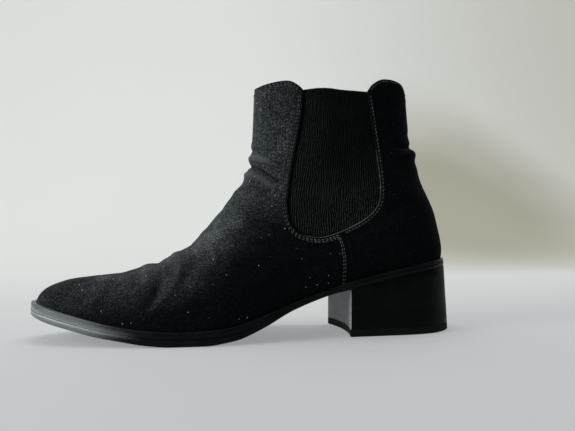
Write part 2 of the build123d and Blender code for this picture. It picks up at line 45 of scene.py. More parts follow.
STIFFENER = 0.8
LINING_DEPTH = 2.9

# ---------------------------------------------------------------- the last
# One row per station: front guide point (x, z), back guide point (x, z), middle y, lateral and
# medial half widths, where the widest line lies, roundness in front of it and behind it.
STATIONS = np.array([
    (-139.3, 22.6, -139.2, 20.4, 3.5, 1.5, 1.5, 0.50, 2.00, 2.00),
    (-138.5, 26.0, -138.6, 17.0, 3.5, 7.0, 7.0, 0.52, 2.10, 2.20),
    (-136.6, 29.5, -136.9, 13.8, 3.5, 11.5, 11.5, 0.55, 2.20, 2.40),
    (-133.0, 32.7, -133.4, 11.0, 3.4, 15.8, 16.0, 0.58, 2.30, 2.60),
    (-127.0, 35.6, -127.4, 8.0, 3.2, 20.3, 21.0, 0.60, 2.30, 2.80),
    (-118.0, 38.2, -118.5, 4.5, 2.9, 25.2, 26.5, 0.62, 2.30, 3.00),
    (-104.0, 40.0, -105.0, 0.5, 2.4, 31.3, 32.2, 0.64, 2.30, 3.00),
    (-86.5, 42.2, -88.0, -2.5, 1.8, 37.3, 37.8, 0.66, 2.20, 3.00),
    (-69.0, 47.1, -70.5, -4.0, 1.2, 41.6, 41.4, 0.68, 2.10, 3.00),
    (-52.3, 53.6, -53.0, -4.5, 0.6, 43.6, 42.6, 0.71, 2.00, 3.00),
    (-38.3, 63.1, -34.0, -4.0, 0.2, 43.8, 41.2, 0.74, 1.95, 3.00),
    (-26.5, 76.6, -12.0, -1.0, 0.0, 42.0, 37.8, 0.76, 1.90, 3.00),
    (-16.9, 88.9, 14.0, 9.0, 0.0, 37.6, 33.4, 0.76, 1.90, 3.00),
    (-9.6, 98.3, 44.0, 20.5, 0.0, 33.2, 30.6, 0.74, 1.90, 2.90),
    (-4.8, 105.8, 76.0, 29.5, 0.0, 31.4, 30.2, 0.71, 1.90, 2.80),
    (-2.3, 112.0, 103.0, 35.0, 0.0, 30.8, 30.2, 0.68, 1.95, 2.70),
    (-1.2, 117.5, 124.0, 36.5, 0.0, 30.4, 30.0, 0.65, 1.95, 2.60),
    (-0.7, 122.7, 133.3, 44.5, 0.0, 30.0, 29.8, 0.63, 2.00, 2.50),
    (-0.3, 128.2, 135.9, 57.0, 0.0, 29.4, 29.2, 0.61, 2.00, 2.40),
    (0.1, 134.0, 133.8, 71.0, 0.0, 28.6, 28.6, 0.59, 2.00, 2.30),
    (0.5, 140.2, 129.8, 85.6, 0.0, 27.6, 27.6, 0.57, 2.05, 2.25),
    (0.8, 147.0, 123.3, 99.3, 0.0, 26.6, 26.6, 0.56, 2.10, 2.20),
    (1.2, 154.2, 117.8, 114.5, 0.0, 25.6, 25.6, 0.55, 2.10, 2.20),
    (1.6, 162.0, 113.6, 132.5, 0.0, 24.6, 24.6, 0.54, 2.10, 2.20),
    (2.0, 170.2, 111.3, 153.0, 0.0, 23.8, 23.8, 0.52, 2.10, 2.20),
    (2.4, 179.0, 110.2, 177.0, 0.0, 23.2, 23.2, 0.50, 2.10, 2.20)])
LAST = len(STATIONS) - 1

# Side view (x, z) of the sole, from the toe tip to the heel
SEAT_LINE = [(-144, 20.8), (-137.8, 18.8), (-127.4, 16.3), (-112.4, 12.9), (-98.4, 9.9), (-80, 7.1),
             (-64, 5.2), (-44, 4.5), (-23.6, 5.6), (-12.6, 7.2), (-3.9, 10.2), (6.4, 14.6), (22, 22.2),
             (44.5, 30.0), (60, 33.6), (80, 38.6), (107, 44.0), (130, 47.6), (145, 48.6)]
RAND_LINE = [(-144, 25.0), (-134, 22.6), (-124.5, 20.2), (-109, 16.6), (-90, 12.5), (-64, 9.3),
             (-43, 8.7), (-27, 9.5), (-12.5, 11.6), (6.6, 17.9), (31, 26.4), (58, 34.9), (82, 41.1),
             (108, 46.5), (132, 50.0), (145, 50.8)]
GROUND_LINE = [(-144, 17.0), (-137.8, 15.2), (-127.4, 12.3), (-112.4, 8.8), (-98.4, 5.6), (-80, 2.7),
               (-70, 1.2), (-56, 0.0), (-44, 0.0), (-32, 0.0), (-23.6, 1.0), (-12.6, 3.0), (-3.9, 6.2),
               (6.4, 10.9), (22, 18.9), (44.5, 26.9), (60, 30.6), (80, 35.5), (107, 41.2),
               (130, 44.6), (145, 45.4)]
# Plan view (x, y)
SOLE_LATERAL = [(-142.4, 3), (-141, -4), (-136.8, -11.8), (-130.1, -18.2), (-120, -24.4), (-105, -31.2),
                (-88, -37.4), (-68, -42.8), (-45, -45), (-22, -44.4), (0, -40.6), (22, -35.9),
                (42, -32.6), (61, -31), (85, -29.8), (105, -28.8), (119.4, -25.4), (130.3, -17.6),
                (136.4, -8.6), (138.4, 0)]
SOLE_MEDIAL = [(138.4, 0), (136.4, 8.6), (130.3, 17.6), (119.4, 25.2), (105, 28.4), (85, 29.2), (60, 29.2),
               (40, 30), (20, 32.2), (0, 35.8), (-18, 39.6), (-38, 43.4), (-56, 45), (-72, 44.4),
               (-88, 41.8), (-105, 37.3), (-120, 31.4), (-130.1, 25.2), (-136.8, 18.8), (-141, 11),
               (-142.4, 3)]
HEEL_FOOT = [(60.8, -29.9), (85, -29.4), (105, -28.6), (120.9, -25), (132.3, -17.8), (138.9, -9), (140.9, 0),
             (138.9, 9), (132.3, 17.8), (120.9, 25), (105, 28.6), (85, 29.4), (60.8, 29.9)]
HEEL_HEAD = [(60.8, -31.0), (85, -29.8), (105, -28.8), (119.4, -25.4), (130.3, -17.6), (136.4, -8.6),
             (138.4, 0), (136.4, 8.6), (130.3, 17.6), (119.4, 25.2), (105, 28.4), (85, 29.2), (60.8, 29.4)]
HEEL_HEAD_Z = 48.0
BREAST_MIDDLE, BREAST_RADIUS = 64.8, 114.5
TOP_PIECE = 5.0

# Side view (x, z) of the upper's pieces
FRONT_TOP = [(-6, 165.9), (3, 167.6), (10.5, 169.0), (17, 169.8), (23.2, 169.6), (28.6, 166.5),
             (31.5, 163.7)]
GORE_FRONT = [(31.5, 163.7), (30.7, 149.7), (27.8, 132.8), (24.6, 116.3), (21.6, 98), (20.2, 86.3),
              (21.6, 75.6), (26.4, 68.9), (34.4, 65.5), (44, 65.4), (54.7, 68.6)]
GORE_REAR = [(54.7, 68.6), (69.1, 75.4), (78.3, 82.6), (82.6, 90.4), (83.2, 101), (82.4, 113.5),
             (80.6, 131), (78.2, 149), (75.8, 164.0)]
GORE_TOP = [(31.5, 163.7), (41, 165.0), (49, 165.2), (57, 164.4), (66, 164.1), (75.8, 164.0)]
BACK_TOP = [(75.8, 164.0), (80.2, 169.4), (86, 173.0), (92, 174.0), (98.4, 173.8), (105.0, 172.2),
            (109.3, 167.8), (111.9, 164.6), (118, 163.5)]
SIDE_SEAM = [(54.7, 68.6), (57.8, 60.1), (59.3, 49.3), (59.2, 35.2), (58.6, 20.0)]
PUFF_EDGE = [(-84, 60), (-88, 40), (-96, 20), (-108, 0)]
COUNTER_EDGE = [(62, 20), (66, 46), (78, 66), (96, 84), (116, 94), (150, 97)]


# ---------------------------------------------------------------- curves
def smooth(points, step=1.5):
    """Catmull-Rom curve through 2-D points, sampled about every step."""
    p = np.array(points, float)
    p = np.vstack([2 * p[0] - p[1], p, 2 * p[-1] - p[-2]])
    out = []
    for i in range(1, len(p) - 2):
        count = max(2, int(np.linalg.norm(p[i + 1] - p[i]) / step))
        t = np.arange(count)[:, None] / count
        a, b, c, d = p[i - 1:i + 3]
        out.append(0.5 * (2 * b + (c - a) * t + (2 * a - 5 * b + 4 * c - d) * t ** 2
                          + (3 * b - a - 3 * c + d) * t ** 3))
    return np.vstack([*out, p[-2:-1]])


def height_of(line):
    """Function giving z at x on a side-view line."""
    curve = smooth(line)
    return lambda x: np.interp(x, curve[:, 0], curve[:, 1])


seat_z, rand_z, ground_z = height_of(SEAT_LINE), height_of(RAND_LINE), height_of(GROUND_LINE)


def run_lengths(line):
    """Length along a polyline up to each of its points."""
    return np.concatenate([[0], np.cumsum(np.linalg.norm(np.diff(line, axis=0), axis=1))])


def natural_curvatures(values):
    """Second derivatives of the natural cubic spline through equally spaced rows."""
    count = len(values)
    system, load = np.eye(count), np.zeros_like(values)
    for i in range(1, count - 1):
        system[i, i - 1:i + 2] = (1, 4, 1)
        load[i] = 6 * (values[i + 1] - 2 * values[i] + values[i - 1])
    return np.linalg.solve(system, load)


CURVATURES = natural_curvatures(STATIONS)


def station_at(u):
    """Station dimensions at fractional places u along the boot."""
    u = np.asarray(u, float)
    i = np.clip(u.astype(int), 0, LAST - 1)
    t = (u - i)[..., None]
    start = (1 - t) * STATIONS[i] + ((1 - t) ** 3 - (1 - t)) / 6 * CURVATURES[i]
    return start + t * STATIONS[i + 1] + (t ** 3 - t) / 6 * CURVATURES[i + 1]


def ring_points(stations, angle, side):
    """Skin points of stations at angles 0 (front ridge) to pi (back) on one side, -1 or 1."""
    s = stations[:, None, :]
    c, w = np.cos(angle)[None, :], np.abs(np.sin(angle))[None, :]
    roundness = np.where(c > 0, s[..., 8], s[..., 9])
    along, across = np.abs(c) ** (2 / roundness), w ** (2 / roundness)
    share = np.where(c > 0, s[..., 7] * (1 - along), s[..., 7] + (1 - s[..., 7]) * along)
    half = s[..., 5] if side < 0 else s[..., 6]
    return np.stack([s[..., 0] + share * (s[..., 2] - s[..., 0]), s[..., 4] + side * across * half,
                     s[..., 1] + share * (s[..., 3] - s[..., 1])], -1)


class Skin:
    """Outer skin of the last as an even grid: rows along the boot, columns round it."""

    def __init__(self, spacing=1.0 * COARSE, columns=300 // COARSE):
        u = np.linspace(0, LAST, 4001)
        guides = station_at(u)[:, :4]
        steps = np.hypot(np.diff(guides[:, 0]), np.diff(guides[:, 1]))
        steps = (steps + np.hypot(np.diff(guides[:, 2]), np.diff(guides[:, 3]))) / 2
        run = np.concatenate([[0], np.cumsum(steps)])
        self.rows, self.columns = int(run[-1] / spacing) + 1, columns
        stations = station_at(np.interp(np.linspace(0, run[-1], self.rows), run, u))
        half = columns // 2
        angle = np.linspace(0, math.pi, 1201)
        self.points = np.zeros((self.rows, columns, 3))
        for side in (-1, 1):
            dense = ring_points(stations, angle, side)
            lengths = np.linalg.norm(np.diff(dense, axis=1), axis=2)
            lengths = np.concatenate([np.zeros((self.rows, 1)), np.cumsum(lengths, 1)], 1)
            for i in range(self.rows):
                even = np.linspace(0, lengths[i, -1], half + 1)
                ring = np.stack([np.interp(even, lengths[i], dense[i, :, k]) for k in range(3)], -1)
                if side < 0:
                    self.points[i, :half + 1] = ring
                else:
                    self.points[i, half + 1:] = ring[1:-1][::-1]
        along = np.gradient(self.points, axis=0)
        around = np.roll(self.points, -1, 1) - np.roll(self.points, 1, 1)
        normal = np.cross(along, around)
        normal /= np.linalg.norm(normal, axis=2, keepdims=True) + 1e-12
        centre = self.points.mean(1, keepdims=True)
        facing = np.sign(((self.points - centre) * normal).sum(2).mean())
        self.normals = normal * facing

    def at(self, places):
        """Points and normals at fractional (row, column) places."""
        row = np.clip(places[:, 0], 0, self.rows - 1.001)
        i, j = row.astype(int), np.floor(places[:, 1]).astype(int)
        a, b = (row - i)[:, None], (places[:, 1] - j)[:, None]
        j0, j1 = j % self.columns, (j + 1) % self.columns
        out = []
        for grid in (self.points, self.normals):
            out.append((1 - a) * ((1 - b) * grid[i, j0] + b * grid[i, j1])
                       + a * ((1 - b) * grid[i + 1, j0] + b * grid[i + 1, j1]))
        out[1] /= np.linalg.norm(out[1], axis=1, keepdims=True)
        return out


def skin_y(x, z, side):
    """Y of the skin at places of the side view; side is -1 lateral or 1 medial."""
    x, z = np.asarray(x, float), np.asarray(z, float)
    low, high = np.zeros_like(x), np.full_like(x, LAST)
    for _ in range(40):
        u = (low + high) / 2
        s = station_at(u)
        turn = (s[..., 2] - s[..., 0]) * (z - s[..., 1]) - (s[..., 3] - s[..., 1]) * (x - s[..., 0])
        low, high = np.where(turn > 0, u, low), np.where(turn > 0, high, u)
    dx, dz = s[..., 2] - s[..., 0], s[..., 3] - s[..., 1]
    share = ((x - s[..., 0]) * dx + (z - s[..., 1]) * dz) / (dx ** 2 + dz ** 2)
    front = share < s[..., 7]
    along = np.where(front, (s[..., 7] - share) / s[..., 7], (share - s[..., 7]) / (1 - s[..., 7]))
    roundness = np.where(front, s[..., 8], s[..., 9])
    across = (1 - np.clip(along, 0, 1) ** roundness) ** (1 / roundness)
    return s[..., 4] + side * across * (s[..., 5] if side < 0 else s[..., 6])


SLOPE_STEP = 0.2


def side_frame(x, z, side):
    """Skin points and outward normals at places of the side view."""
    y = skin_y(x, z, side)
    slope_x = (skin_y(x + SLOPE_STEP, z, side) - skin_y(x - SLOPE_STEP, z, side)) / (2 * SLOPE_STEP)
    slope_z = (skin_y(x, z + SLOPE_STEP, side) - skin_y(x, z - SLOPE_STEP, side)) / (2 * SLOPE_STEP)
    normals = side * np.stack([-slope_x, np.ones_like(x), -slope_z], -1)
    return np.stack([x, y, z], -1), normals / np.linalg.norm(normals, axis=1, keepdims=True)


def line_distance(x, z, line):
    """Distance from side-view places to a polyline, and how far along it the nearest point is."""
    best = np.full(x.shape, 1e9)
    share = np.zeros(x.shape)
    runs = run_lengths(line)
    for k in range(len(line) - 1):
        ax, az = line[k]
        dx, dz = line[k + 1] - line[k]
        t = np.clip(((x - ax) * dx + (z - az) * dz) / (dx * dx + dz * dz), 0, 1)
        gap = np.hypot(x - ax - t * dx, z - az - t * dz)
        nearer = gap < best
        best = np.where(nearer, gap, best)
        share = np.where(nearer, (runs[k] + t * (runs[k + 1] - runs[k])) / runs[-1], share)
    return best, share


def inside(x, z, polygon):
    """Whether side-view places are inside a closed polygon."""
    result = np.zeros(x.shape, bool)
    for (ax, az), (bx, bz) in zip(polygon, np.roll(polygon, -1, 0)):
        if az != bz:
            result ^= ((az > z) != (bz > z)) & (x < (bx - ax) * (z - az) / (bz - az) + ax)
    return result


def signed_distance(x, z, edge, polygon):
    """Distance to an edge, positive inside the polygon."""
    gap = line_distance(x, z, edge)[0]
    return np.where(inside(x, z, polygon), gap, -gap)


def lattice_noise(p, size, seed):
    """Smooth noise from -1 to 1 with features about size across."""
    values = np.random.RandomState(seed).uniform(-1, 1, (32, 32, 32))
    q = p / size + 500.0
    i = np.floor(q).astype(int)
    f = q - i
    f = f * f * (3 - 2 * f)
    total = 0
    for corner in range(8):
        bits = np.array([(corner >> k) & 1 for k in range(3)])
        weight = np.prod(np.where(bits, f, 1 - f), axis=-1)
        j = (i + bits) % 32
        total = total + weight * values[j[..., 0], j[..., 1], j[..., 2]]
    return total


# ---------------------------------------------------------------- creases
# (side-view points from the outline inward, height, half width, weight on the medial side)
FOLDS = [
    ([(-6, 119.4), (0, 118.8), (7, 116.6), (16, 112.0)], 1.9, 2.3, 0.8),
    ([(-6, 114.8), (0, 113.2), (5, 110.0), (11, 105.6), (16, 101.6), (24, 97.0)], -2.0, 1.4, 0.8),
    ([(-8, 109.4), (-3, 107.4), (3, 105.0), (9, 100.4), (16, 95.0)], 1.7, 2.2, 0.8),
    ([(-3, 124.6), (4, 124.2), (11, 123.6), (20, 122.6)], -1.0, 1.2, 0.7),
    ([(-3, 128.4), (6, 127.8), (16, 126.4)], 0.55, 2.2, 0.7),
    ([(-9, 102.5), (-2, 99.5), (6, 93.0), (12, 86.0)], -0.8, 2.4, 0.6),
    ([(-14, 97.0), (-6, 92.0), (2, 85.0), (8, 78.0)], 0.7, 3.0, 0.7),
    ([(-22, 85.0), (-13, 78.0), (-3, 72.0), (9, 67.0)], -0.7, 3.4, 0.8),
    ([(120, 124.5), (112, 123.6), (103, 122.6), (92, 121.5)], 2.6, 4.0, 0.9),
    ([(119, 130.5), (112, 128.6), (104, 127.2), (93, 127.0)], -1.7, 1.8, 0.8),
    ([(119, 114.0), (112, 114.5), (103, 115.0)], 0.7, 4.5, 0.8),
    ([(117, 138.0), (108, 137.0), (98, 136.5)], -0.6, 3.0, 0.7),
    ([(-73, 53), (-70.5, 46), (-70, 38), (-74, 29)], 1.0, 3.6, 0.9),
    ([(-65, 55), (-62.3, 47), (-60.5, 39), (-64, 29), (-71, 19)], -1.3, 2.9, 0.9),
    ([(-55, 60), (-51, 53), (-49.5, 44), (-54, 33)], 1.2, 3.4, 0.9),
    ([(-45, 66), (-41, 57), (-41.5, 46), (-48, 35)], -0.8, 3.0, 0.8),
    ([(-36, 72), (-30, 62), (-28, 52), (-33, 40)], 0.7, 3.6, 0.8),
    ([(-86, 47), (-87, 38), (-93, 29), (-101, 22)], -0.4, 4.0, 0.9),
    ([(3.4, 168), (3.0, 150), (2.6, 132)], -0.45, 1.0, 0.0),
]
# Folds that start inside a panel
INNER_FOLDS = [
    ([(84, 78), (94, 84), (104, 88), (116, 90)], -0.5, 3.2, 0.7),
    ([(66, 66), (78, 70), (92, 73), (110, 76)], 0.5, 4.2, 0.7),
    ([(-6, 58), (4, 52), (16, 48), (30, 46)], 0.45, 4.0, 0.6),
    ([(-20, 50), (-8, 44), (6, 40)], -0.4, 3.6, 0.6),
]


def relief(p):
    """Height of the upper's creases above the smooth last, at skin points."""
    x, y, z = p[:, 0], p[:, 1], p[:, 2]
    height = np.zeros(len(p))
    for folds, fade_in in ((FOLDS, False), (INNER_FOLDS, True)):
        for points, peak, width, medial in folds:
            curve = smooth(points, 2.0)
            near = ((x > curve[:, 0].min() - 3 * width) & (x < curve[:, 0].max() + 3 * width)
                    & (z > curve[:, 1].min() - 3 * width) & (z < curve[:, 1].max() + 3 * width))
            if not near.any():
                continue
            gap, share = line_distance(x[near], z[near], curve)
            taper = np.clip((1 - share) * 2.6, 0, 1)
            if fade_in:
                taper *= np.clip(share * 4, 0, 1)
            side = np.where(y[near] < 0, 1.0, medial)
            height[near] += peak * np.exp(-(gap / width) ** 2) * taper * side
    height += 0.30 * lattice_noise(p, 21.0, 3) + 0.14 * lattice_noise(p, 9.0, 4)
    calm = np.clip((z - seat_z(x) - 4) / 12, 0, 1)
    return height * calm


# ---------------------------------------------------------------- meshes
def piece(name, vertices, faces, material, smooth_angle=40.0):
    """Object from vertices in millimetres, riding on the boot."""
    mesh = bpy.data.meshes.new(name)
    mesh.from_pydata([tuple(v) for v in np.asarray(vertices) * MM], [], [tuple(f) for f in faces])
    mesh.polygons.foreach_set("use_smooth", [True] * len(mesh.polygons))
    mesh.update()
    mesh.set_sharp_from_angle(angle=math.radians(smooth_angle))
    mesh.materials.append(material)
    obj = bpy.data.objects.new(name, mesh)
    bpy.context.scene.collection.objects.link(obj)
    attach(obj, "root")
    return obj


def mark(obj, name, values):
    """Stores one number per vertex for the piece's material."""
    values = np.asarray(values, float)
    count = len(obj.data.vertices)
    obj.data.attributes.new(name, "FLOAT", "POINT").data.foreach_set(
        "value", np.resize(values, count) if len(values) * 2 != count else np.tile(values, 2))


def stand_for(obj, slot, *nodes):
    """The piece replaces CAD nodes and hides them; its material slot is not used."""
    if nodes:
        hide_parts(*nodes)


def split_faces(places, faces, values, level, keep_all):
    """Cuts faces along a level of the values; what lies below it goes unless keep_all."""
    above = values >= level
    cut_at, extra, out = {}, [], []
    for face in faces:
        flags = [above[k] for k in face]
        if all(flags):
            out.append(face)
            continue
        if not any(flags):
            if keep_all:
                out.append(face)
            continue
        high, low = [], []
        for k, flag, n, next_flag in zip(face, flags, face[1:] + face[:1], flags[1:] + flags[:1]):
            (high if flag else low).append(k)
            if flag != next_flag:
                key = (min(k, n), max(k, n))
                if key not in cut_at:
                    t = (level - values[key[0]]) / (values[key[1]] - values[key[0]])
                    cut_at[key] = len(places) + len(extra)
                    extra.append(places[key[0]] * (1 - t) + places[key[1]] * t)
                high.append(cut_at[key])
                low.append(cut_at[key])
        if len(high) > 2:
            out.append(tuple(high))
        if keep_all and len(low) > 2:
            out.append(tuple(low))
    if extra:
        places = np.vstack([places, extra])
        values = np.concatenate([values, np.full(len(extra), level)])
    return places, out, values


def compact(places, faces, *arrays):
    """Drops the places that no face uses."""
    used = np.unique(np.concatenate([np.asarray(f) for f in faces]))
    index = np.full(len(places), -1)
    index[used] = np.arange(len(used))
    return (places[used], [tuple(index[list(f)]) for f in faces], *(a[used] for a in arrays))


def closed_sheet(outer, inner, faces):
    """Vertices and faces of a closed solid between two layers with the same faces."""
    count = len(outer)
    border = {}
    for face in faces:
        for a, b in zip(face, face[1:] + face[:1]):
            if (b, a) in border:
                del border[(b, a)]
            else:
                border[(a, b)] = True
    sides = [(b, a, a + count, b + count) for a, b in border]
    under = [tuple(k + count for k in reversed(face)) for face in faces]
    return np.vstack([outer, inner]), [*faces, *under, *sides]


def grid_faces(rows, columns):
    """Quads of a grid of places that are stored row by row."""
    return [(a * columns + b, a * columns + b + 1, (a + 1) * columns + b + 1, (a + 1) * columns + b)
            for a in range(rows - 1) for b in range(columns - 1)]


def ring_walls(levels, count, first=0, wrap=False):
    """Quads between neighbouring closed rings of count places; wrap joins the last to the first."""
    faces = []
    for level in range(levels if wrap else levels - 1):
        low, high = first + level * count, first + (level + 1) % levels * count
        faces += [(low + k, low + (k + 1) % count, high + (k + 1) % count, high + k)
                  for k in range(count)]
    return faces


SKIN = Skin()


def skin_faces(first_column, last_column, step=1):
    """Grid places and quads of the skin between two columns."""
    rows = np.arange(0, SKIN.rows, step)
    columns = np.arange(first_column, last_column + 1, step)
    places = np.array([(i, j) for i in rows for j in columns], float)
    return places, grid_faces(len(rows), len(columns))


def cut_panel(columns, distance, levels=(), step=1):
    """Skin places, faces and edge distances of a panel; distance(x, z) is positive inside it."""
    places, faces = skin_faces(*columns, step=step)
    points = SKIN.at(places)[0]
    above = points[:, 2] - seat_z(points[:, 0])
    places, faces, above = split_faces(places, faces, above, 0.0, False)
    places, faces = compact(places, faces)
    points = SKIN.at(places)[0]
    gap = distance(points[:, 0], points[:, 2])
    places, faces, gap = split_faces(places, faces, gap, 0.0, False)
    places, faces, gap = compact(places, faces, gap)
    for level in levels:
        places, faces, gap = split_faces(places, faces, gap, level, True)
    return places, faces, gap


def sheet_between(name, columns, distance, outer, inner, material, levels=(), step=1, rows=()):
    """Closed panel between two depths under the skin, with rounded cut edges and stitch grooves."""
    places, faces, gap = cut_panel(columns, distance, levels, step)
    points, normals = SKIN.at(places)
    height = relief(points)
    top = height - outer
    if rows:
        top = top - EDGE_DROP * (1 - np.sqrt(1 - np.clip(1 - gap / EDGE_RADIUS, 0, 1) ** 2))
        free = points[:, 2] - seat_z(points[:, 0]) > STITCH_FREE
        for away in rows:
            top = top - GROOVE * free * np.exp(-((gap - away) / 0.5) ** 2)
        top = top + GROOVE * 0.5 * free * np.exp(-((gap - rows[-1] - 1.6) / 1.2) ** 2)
        seam = np.abs(points[:, 1]) + 50 * (points[:, 0] < 80)
        top = top - SEAM_DEPTH * np.exp(-(seam / SEAM_WIDTH) ** 2)
    shell = closed_sheet(points + normals * top[:, None],
                         points + normals * (height - inner)[:, None], faces)
    made = piece(name, *shell, material)
    # Distance from the cut edge, which the suede uses for a darker band along its edges.
    mark(made, "trim", np.clip(1.25 - gap / TRIM_WIDTH, 0, 1))
    # Fold height, which the suede uses for painted highlights on fold ridges and painted shade in the
    # valleys.
    mark(made, "painted_fold_light", np.clip(0.5 + height / 4, 0, 1))
    return made


EDGE_RADIUS, EDGE_DROP, GROOVE = 0.9, 0.6, 0.35
VAMP_ROWS, QUARTER_ROWS = (1.6, 2.9), (1.6,)
FAR = 220.0
GORE_CLEAR = 4.4
SEAM_DEPTH = SEAM_WIDTH = 0.9
STITCH_FREE, TRIM_WIDTH = 14.0, 4.2
front_top, gore_front, gore_rear = smooth(FRONT_TOP), smooth(GORE_FRONT), smooth(GORE_REAR)
back_top, side_seam = smooth(BACK_TOP), smooth(SIDE_SEAM)
gore_edge = np.vstack([gore_front, gore_rear[1:]])
gore_loop = np.vstack([gore_edge, [(75.8, FAR), (31.5, FAR)]])
vamp_edge = np.vstack([front_top, gore_front[1:], side_seam[1:]])
vamp_loop = np.vstack([vamp_edge, [(58.6, -FAR), (-FAR, -FAR), (-FAR, 165.9)]])
quarter_edge = np.vstack([side_seam[::-1], gore_rear[1:], back_top[1:]])
quarter_loop = np.vstack([quarter_edge, [(FAR, 163.5), (FAR, -FAR), (58.6, -FAR)]])
puff_edge, counter_edge = smooth(PUFF_EDGE), smooth(COUNTER_EDGE)


def vamp_distance(x, z):
    return signed_distance(x, z, vamp_edge, vamp_loop)


def quarter_distance(x, z):
    return signed_distance(x, z, quarter_edge, quarter_loop)


def outside_gore(x, z):
    """Distance outside the gore, whose hidden border lies under the suede round its opening."""
    return -signed_distance(x, z, gore_edge, gore_loop) - GORE_CLEAR


def lining_front_distance(x, z):
    return np.minimum(vamp_distance(x, z) - 0.1, outside_gore(x, z))


def lining_back_distance(x, z):
    return np.minimum(quarter_distance(x, z) - 0.1, outside_gore(x, z))


def puff_distance(x, z):
    return signed_distance(x, z, puff_edge, np.vstack([puff_edge, [(-FAR, 0), (-FAR, 60)]]))


def counter_distance(x, z):
    return signed_distance(x, z, counter_edge, np.vstack([counter_edge, [(150, 20)]]))


def tape_band(x, z, edge):
    """Positive in the band that a collar tape covers beside an edge."""
    return 0.8 - np.abs(line_distance(x, z, edge)[0] - 5.4) / 4.6


def front_tape_distance(x, z):
    return np.minimum(lining_front_distance(x, z), tape_band(x, z, front_top))


def back_tape_distance(x, z):
    return np.minimum(lining_back_distance(x, z), tape_band(x, z, back_top))


def seam_strip_distance(x, z):
    return np.minimum(np.minimum(z - 99, 151 - z), x - 100)


# ---------------------------------------------------------------- material helpers
class Recipe:
    """Procedural material with short calls for its nodes."""

    def __init__(self, name, **settings):
        self.material = bpy.data.materials.new(name)
        self.material.use_nodes = True
        self.tree = self.material.node_tree
        self.shader = self.tree.nodes["Principled BSDF"]
        self.shader.inputs["Metallic"].default_value = 0.0
        for socket, value in settings.items():
            self.shader.inputs[socket.replace("_", " ")].default_value = value
        self.place = self.node("ShaderNodeTexCoord").outputs["Object"]

    def node(self, kind, links=(), **values):
        made = self.tree.nodes.new(kind)
        for key, value in values.items():
            setattr(made, key, value)
        for socket, source in dict(links).items():
            target = made.inputs[socket]
            if isinstance(source, bpy.types.NodeSocket):
                self.tree.links.new(source, target)
            else:
                target.default_value = source
        return made

    def noise(self, scale, detail=2.0, roughness=0.5, place=None, distortion=0.0):
        links = {"Vector": place or self.place, "Scale": scale, "Detail": detail,
                 "Roughness": roughness, "Distortion": distortion}
        return self.node("ShaderNodeTexNoise", links).outputs["Fac"]

    def stretched(self, scale):
        return self.node("ShaderNodeMapping", {"Vector": self.place, "Scale": scale}).outputs["Vector"]

    def math(self, operation, first, second=0.0, third=0.0, clamp=False):
        links = {0: first, 1: second, 2: third}
        return self.node("ShaderNodeMath", links, operation=operation, use_clamp=clamp).outputs[0]

    def times(self, first, second, clamp=False):
        return self.math("MULTIPLY", first, second, clamp=clamp)

    def plus(self, first, second):
        return self.math("ADD", first, second)

    def attribute(self, name):
        return self.node("ShaderNodeAttribute", attribute_name=name).outputs["Fac"]

    def span(self, value, low, high, out_low=0.0, out_high=1.0):
        links = {"Value": value, "From Min": low, "From Max": high, "To Min": out_low,
                 "To Max": out_high}
        return self.node("ShaderNodeMapRange", links, interpolation_type="SMOOTHSTEP").outputs["Result"]

    def mix(self, factor, first, second):
        made = self.node("ShaderNodeMix", data_type="RGBA")
        for socket, source in zip((made.inputs[0], made.inputs[6], made.inputs[7]),
                                  (factor, first, second)):
            if isinstance(source, bpy.types.NodeSocket):
                self.tree.links.new(source, socket)
            else:
                socket.default_value = shade(source) if isinstance(source, tuple) else source
        return made.outputs[2]

    def near(self, spot, radius, ragged):
        """Patch round a place in millimetres, with a ragged border."""
        links = {0: self.place, 1: [v * MM for v in spot]}
        gap = self.node("ShaderNodeVectorMath", links, operation="DISTANCE").outputs["Value"]
        edge = self.plus(gap, self.times(ragged, radius * MM * 1.3))
        return self.span(edge, radius * MM * 1.9, radius * MM * 0.6)

    def axis(self, name):
        return self.node("ShaderNodeSeparateXYZ", {0: self.place}).outputs[name]

    def facing(self, name):
        normal = self.node("ShaderNodeNewGeometry").outputs["Normal"]
        return self.node("ShaderNodeSeparateXYZ", {0: normal}).outputs[name]

    def set(self, socket, source):
        self.tree.links.new(source, self.shader.inputs[socket])

    def bump(self, *layers):
        """Layers of (height, millimetres)."""
        total = None
        for height, amount in layers:
            part = self.times(height, amount)
            total = part if total is None else self.plus(total, part)
        links = {"Height": total, "Distance": MM, "Strength": 1.0}
        self.set("Normal", self.node("ShaderNodeBump", links).outputs["Normal"])


def shade(value):
    """Opaque colour from red, green and blue."""
    return (*value, 1.0)


# ---------------------------------------------------------------- suede
DUST_SPOTS = [((-67.5, -13.6, 45.7), 5.5), ((-35.9, -16.1, 60.2), 6.5), ((-26.4, -19.3, 66.7), 4.5),
              ((-96.0, -10.0, 38.5), 4.0), ((-55.0, -10.0, 51.0), 4.5), ((-14.0, -22.0, 76.0), 5.0),
              ((-4.0, -20.0, 92.0), 5.0)]


